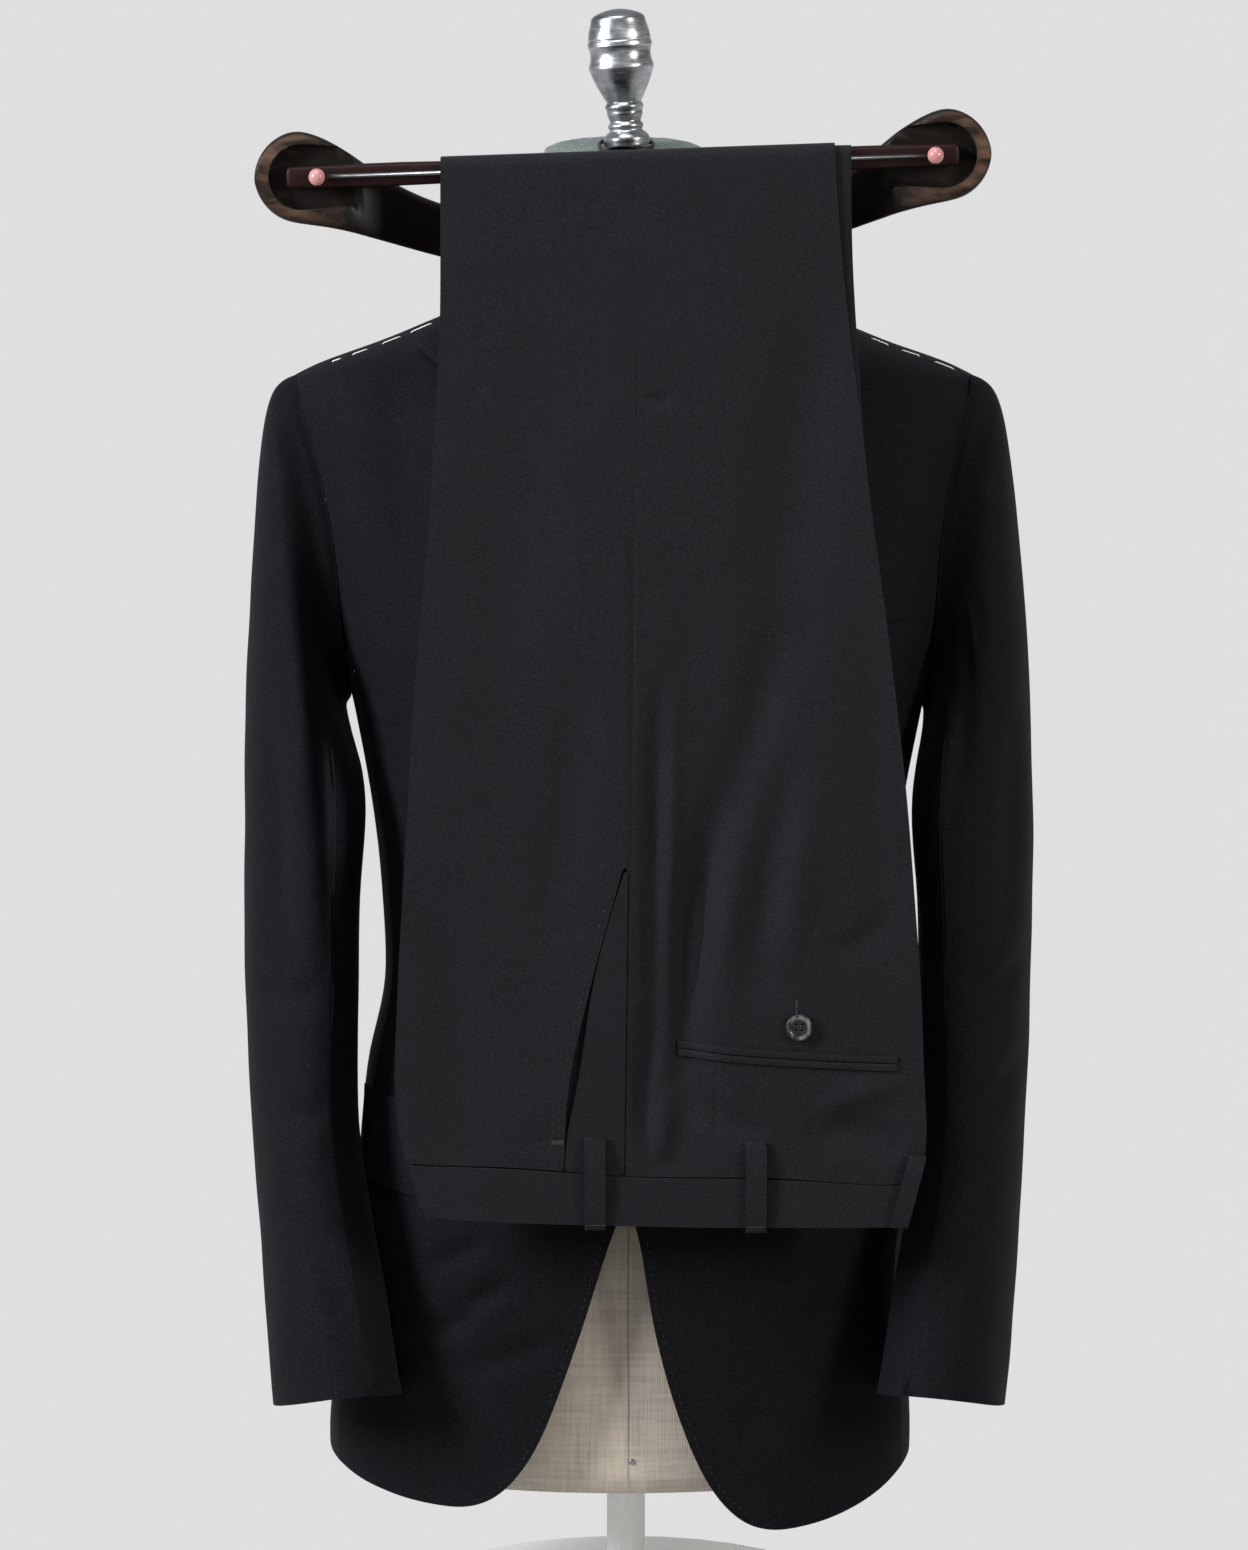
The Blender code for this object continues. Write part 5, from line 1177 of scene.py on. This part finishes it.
        cross = [((x - arm, z - turn * arm), (x + arm, z + turn * arm)) for turn in (1, -1)]
        Needle(self.bench, self.pale).sew("button_thread", [button], cross, 0.00019, 1.0)


@dataclass
class Hanger:
    """The wooden hanger with its bar, clamp wire, stops and hook."""

    bench: Bench
    wood: bpy.types.Material
    bar: bpy.types.Material
    steel: bpy.types.Material
    dull: bpy.types.Material
    stop: bpy.types.Material
    rim_y: float = -0.1455
    lean: float = math.tan(math.radians(2.0))
    bar_height: float = 0.950
    bar_middle: float = -0.002
    bar_end: float = 0.118
    bar_end_growth: float = 1.14
    worn_from: float = 0.150
    worn_span: float = 0.050
    hidden_wear: float = 0.10
    knob_x: float = 0.0008
    plate_top: float = 0.9560
    loop_radius: float = 0.026
    loop_reach: float = 0.046
    loop_share: float = 0.22

    def make(self) -> None:
        """Make the hanger's visible pieces."""
        parts = (
            Part("hanger_body", "hanger_wood", 2, 50.0, self.wood, "dark_wood", self._wear),
            Part("hanger_bar", "hanger_bar_wood", 2, 60.0, self.bar, "bar_wood", self._thicken),
            Part("hanger_hook", "hanger_hook_steel", 1, 60.0, self.dull, "steel_wire",
                 self._tighten),
            Part("clamp_wire", "clamp_wire_steel", 1, 60.0, self.steel, "steel_wire"),
            Part("clamp_stop_right", "clamp_stop_right_ball", 2, 80.0, self.stop, "clear_stop"),
            Part("clamp_stop_left", "clamp_stop_left_ball", 2, 80.0, self.stop, "clear_stop"),
        )
        for part in parts:
            self.bench.dress(part)

    def _thicken(self, bar: Item) -> None:
        """Make the bar's free ends a little higher than its middle."""
        for vertex in bar.data.vertices:
            level = self.bar_height + self.lean * (vertex.co.x - self.bar_middle)
            if abs(vertex.co.x) > self.bar_end:
                vertex.co.z = level + (vertex.co.z - level) * self.bar_end_growth

    def _tighten(self, hook: Item) -> None:
        """Draw the hook's loop close round the knob's foot."""
        for vertex in hook.data.vertices:
            x, y = vertex.co.x - self.knob_x, vertex.co.y
            away = (self.loop_reach - math.hypot(x, y)) / (self.loop_reach - self.loop_radius)
            share = self.loop_share * clamp(away) if vertex.co.z > self.plate_top else 0.0
            vertex.co.x = self.knob_x + x * (1 - share)
            vertex.co.y = y * (1 - share)

    def _wear(self, piece: Item) -> None:
        """Mark where the varnish is worn: the flat rims that face the front."""
        mesh = piece.data
        mark = mesh.attributes.new("wear", "FLOAT", "POINT")
        for vertex in mesh.vertices:
            out = abs(vertex.co.x - self.bar_middle)
            facing = max(0.0, -vertex.normal.y) ** 2
            end = clamp((out - self.worn_from) / self.worn_span)
            rim = 1.0 if vertex.co.y < self.rim_y else self.hidden_wear
            mark.data[vertex.index].value = facing * end * rim


@dataclass(frozen=True)
class Ring:
    """A turned bead or groove: its height on the knob, how far it stands out, its half width."""

    height: float
    growth: float
    width: float


@dataclass
class Form:
    """The dress form with its neck plate, knob, seam and pin, and its stand."""

    bench: Bench
    linen: bpy.types.Material
    board: bpy.types.Material
    metal: bpy.types.Material
    paint: bpy.types.Material
    thread: bpy.types.Material
    pin_place: Pair = (0.0038, 0.1279)
    pin_radius: float = 0.0020
    pin_flatten: float = 0.55
    knob_foot: Triple = (0.0008, 0.0, 0.960)
    knob_lean: float = math.radians(-4.3)
    knob_shoulder: float = 0.080
    knob_flatten: float = 0.78
    knob_core: float = 0.006

    SEAM = ((0.0010, 0.1100), (0.0015, 0.3000))
    RINGS = (
        Ring(0.0830, 0.0024, 0.0040), Ring(0.0245, 0.0007, 0.0016), Ring(0.0200, 0.0012, 0.0028),
        Ring(0.0155, -0.0005, 0.0009), Ring(0.0130, 0.0006, 0.0012), Ring(0.0098, -0.0016, 0.0016),
        Ring(0.0050, 0.0006, 0.0020), Ring(0.0632, 0.0003, 0.0007), Ring(0.0668, -0.0004, 0.0006),
    )

    def make(self) -> None:
        """Make the form's visible pieces."""
        self.bench.dress(Part("dress_form", "dress_form_linen", 2, 60.0, self.linen, "linen"))
        self.bench.dress(Part("neck_plate", "neck_plate_board", 1, 60.0, self.board,
                              "speckled_board"))
        self.bench.dress(Part("neck_knob", "neck_knob_metal", 3, 50.0, self.metal, "cast_metal",
                              self._turn_rings))
        for node in ("stand_base", "stand_stem"):
            coat(self.bench.nodes[node], self.paint)
        body = self.bench.made["dress_form_linen"]
        seam = Needle(self.bench, self.thread)
        seam.sew("form_seam", [body], seam.along(self.SEAM, 0.0030, 0.0029), 0.00045, 0.2)
        self._pin(body)

    def _turn_rings(self, knob: Item) -> None:
        """Turn finer beads into the knob and square off its top."""
        foot = Vector(self.knob_foot)
        axis = Vector((math.sin(self.knob_lean), 0.0, math.cos(self.knob_lean)))
        for vertex in knob.data.vertices:
            height = (vertex.co - foot).dot(axis)
            away = vertex.co - foot - axis * height
            growth = sum(ring.growth * bell(height - ring.height, ring.width)
                         for ring in self.RINGS)
            reach = clamp(away.length / self.knob_core)
            if height > self.knob_shoulder:
                height = self.knob_shoulder + (height - self.knob_shoulder) * self.knob_flatten
            vertex.co = foot + axis * height + away + away.normalized() * growth * reach

    def _pin(self, body: Item) -> None:
        """A pin's round head on the form's front."""
        tree = Needle.surface(body)
        x, z = self.pin_place
        place, _, _, _ = tree.ray_cast(Vector((x, -0.5, z)), Vector((0, 1, 0)))
        bpy.ops.object.select_all(action="DESELECT")
        bpy.ops.mesh.primitive_uv_sphere_add(segments=16, ring_count=10, radius=self.pin_radius,
                                             location=place)
        head = bpy.context.object
        head.name = "form_pin"
        with editing():
            bpy.ops.transform.resize(value=(1.0, self.pin_flatten, 1.0))
        bpy.ops.object.transform_apply(location=True, rotation=True, scale=True)
        bpy.ops.object.shade_smooth()
        head.data.materials.append(self.metal)
        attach(head, BODY)


@dataclass
class Studio:
    """Camera, soft boxes and the pale ground."""

    eye: Triple = (-0.00128, -3.5, 1.014)
    down: float = math.radians(7.448)
    lens: float = 157.76
    ground: Triple = (0.738, 0.738, 0.738)
    sweep_width: float = 18.0
    sweep_front: float = -0.8
    sweep_back: float = 16.0
    sweep_height: float = 6.0
    sweep_radius: float = 1.5

    def make(self) -> None:
        """Set up camera, lights and ground."""
        scene = bpy.context.scene
        camera = bpy.data.cameras.new("camera")
        camera.lens = self.lens
        camera.sensor_width = 36.0
        camera.sensor_fit = "HORIZONTAL"
        holder = bpy.data.objects.new("camera", camera)
        scene.collection.objects.link(holder)
        holder.location = self.eye
        holder.rotation_euler = (math.pi / 2 - self.down, 0.0, 0.0)
        scene.camera = holder
        self._world()
        self._soft_box("left_box", (-2.7, -1.5, 1.8), (0.8, 1.5), 190.0, (0.92, 0.96, 1.0))
        self._soft_box("right_box", (2.5, -1.9, 1.6), (0.6, 1.3), 66.0, (1.0, 0.96, 0.90))
        self._soft_box("top_box", (-0.3, -0.9, 3.0), (1.4, 0.9), 34.0, (1.0, 1.0, 1.0))
        self._ground()
        scene.view_settings.view_transform = "Standard"

    @staticmethod
    def _soft_box(name: str, place: Triple, size: Pair, power: float, tint: Triple) -> None:
        """A rectangular light that looks at the middle of the suit."""
        lamp = bpy.data.lights.new(name, "AREA")
        lamp.shape = "RECTANGLE"
        lamp.size, lamp.size_y = size
        lamp.energy = power
        lamp.color = tint
        holder = bpy.data.objects.new(name, lamp)
        bpy.context.scene.collection.objects.link(holder)
        holder.location = place
        towards = Vector((0.0, 0.0, 0.6)) - Vector(place)
        holder.rotation_euler = towards.to_track_quat("-Z", "Y").to_euler()

    @staticmethod
    def _world() -> None:
        """An even pale surround."""
        world = bpy.data.worlds.new("surround")
        world.use_nodes = True
        back = world.node_tree.nodes["Background"]
        back.inputs["Color"].default_value = (0.96, 0.98, 1.0, 1.0)
        back.inputs["Strength"].default_value = 0.36
        bpy.context.scene.world = world

    def _ground(self) -> None:
        """A pale floor that curves up to a backdrop, lit as evenly as a light table."""
        bpy.ops.object.select_all(action="DESELECT")
        middle = (self.sweep_front + self.sweep_back) / 2
        bpy.ops.mesh.primitive_plane_add(size=1.0, location=(0.0, middle, 0.0))
        floor = bpy.context.object
        floor.name = "floor"
        floor.scale = (self.sweep_width, self.sweep_back - self.sweep_front, 1.0)
        bpy.ops.object.transform_apply(location=True, rotation=False, scale=True)
        bpy.ops.object.mode_set(mode="EDIT")
        bpy.ops.mesh.select_mode(type="EDGE")
        bpy.ops.mesh.select_all(action="DESELECT")
        bpy.ops.object.mode_set(mode="OBJECT")
        for edge in floor.data.edges:
            edge.select = all(floor.data.vertices[i].co.y > middle for i in edge.vertices)
        bpy.ops.object.mode_set(mode="EDIT")
        rise = (0.0, 0.0, self.sweep_height)
        bpy.ops.mesh.extrude_region_move(TRANSFORM_OT_translate={"value": rise})
        bpy.ops.object.mode_set(mode="OBJECT")
        curve = floor.modifiers.new("sweep", "BEVEL")
        curve.width = self.sweep_radius
        curve.segments = 12
        bpy.ops.object.modifier_apply(modifier=curve.name)
        bpy.ops.object.shade_smooth()
        shader = Shader("pale_sweep", (0.0, 0.0, 0.0))
        shader.set(Specular_IOR_Level=0.0, Roughness=1.0, Emission_Strength=1.0)
        shader.surface.inputs["Emission Color"].default_value = (*self.ground, 1.0)
        floor.data.materials.append(shader.material)


def main() -> None:
    """Load the frame and dress it."""
    logging.basicConfig(level=logging.INFO, format="%(message)s")
    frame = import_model()
    Studio().make()
    bench = Bench(frame)
    horn = Horn("dark_horn_painted_highlight").make()
    silk = Plain("black_silk", (0.010, 0.010, 0.012), 0.45).make()
    white = Plain("white_basting", (0.72, 0.72, 0.70), 0.8).make()
    Form(bench,
         Linen("form_linen", (0.40, 0.35, 0.29)).make(),
         Plain("speckled_board", (0.125, 0.152, 0.143), 0.6, speckles=0.35).make(),
         CastMetal("turned_metal").make(),
         Plain("pale_stand_paint", (0.80, 0.80, 0.79), 0.55).make(),
         Plain("linen_thread", (0.33, 0.285, 0.235), 0.8).make()).make()
    Hanger(bench,
           Varnish("dark_varnish", (0.0026, 0.0020, 0.0017), (0.0060, 0.0042, 0.0034),
                   (0.080, 0.046, 0.030), 0.42, 0.07).make(),
           Varnish("mahogany", (0.0070, 0.0020, 0.0018), (0.016, 0.0050, 0.0040),
                   (0.06, 0.025, 0.02), 0.46, 0.04).make(),
           Plain("drawn_steel", (0.15, 0.15, 0.16), 0.36, 1.0).make(),
           Plain("dull_steel", (0.035, 0.035, 0.038), 0.5, 1.0).make(),
           Plain("clear_pink", (0.66, 0.30, 0.29), 0.16, see_through=0.35).make()).make()
    Jacket(bench,
           Wool("jacket_wool", (0.0027, 0.0027, 0.0037), 0.015, 0.07, grain=(0.3, 2.4)).make(),
           horn, white, silk).make()
    Trousers(bench, Wool("trouser_wool", (0.0076, 0.0075, 0.0094), 0.029, 0.09).make(), horn, silk,
             Plain("grey_thread", (0.030, 0.030, 0.033), 0.7).make(),
             Plain("pale_thread", (0.30, 0.30, 0.30), 0.7).make()).make()


if __name__ == "__main__":
    main()
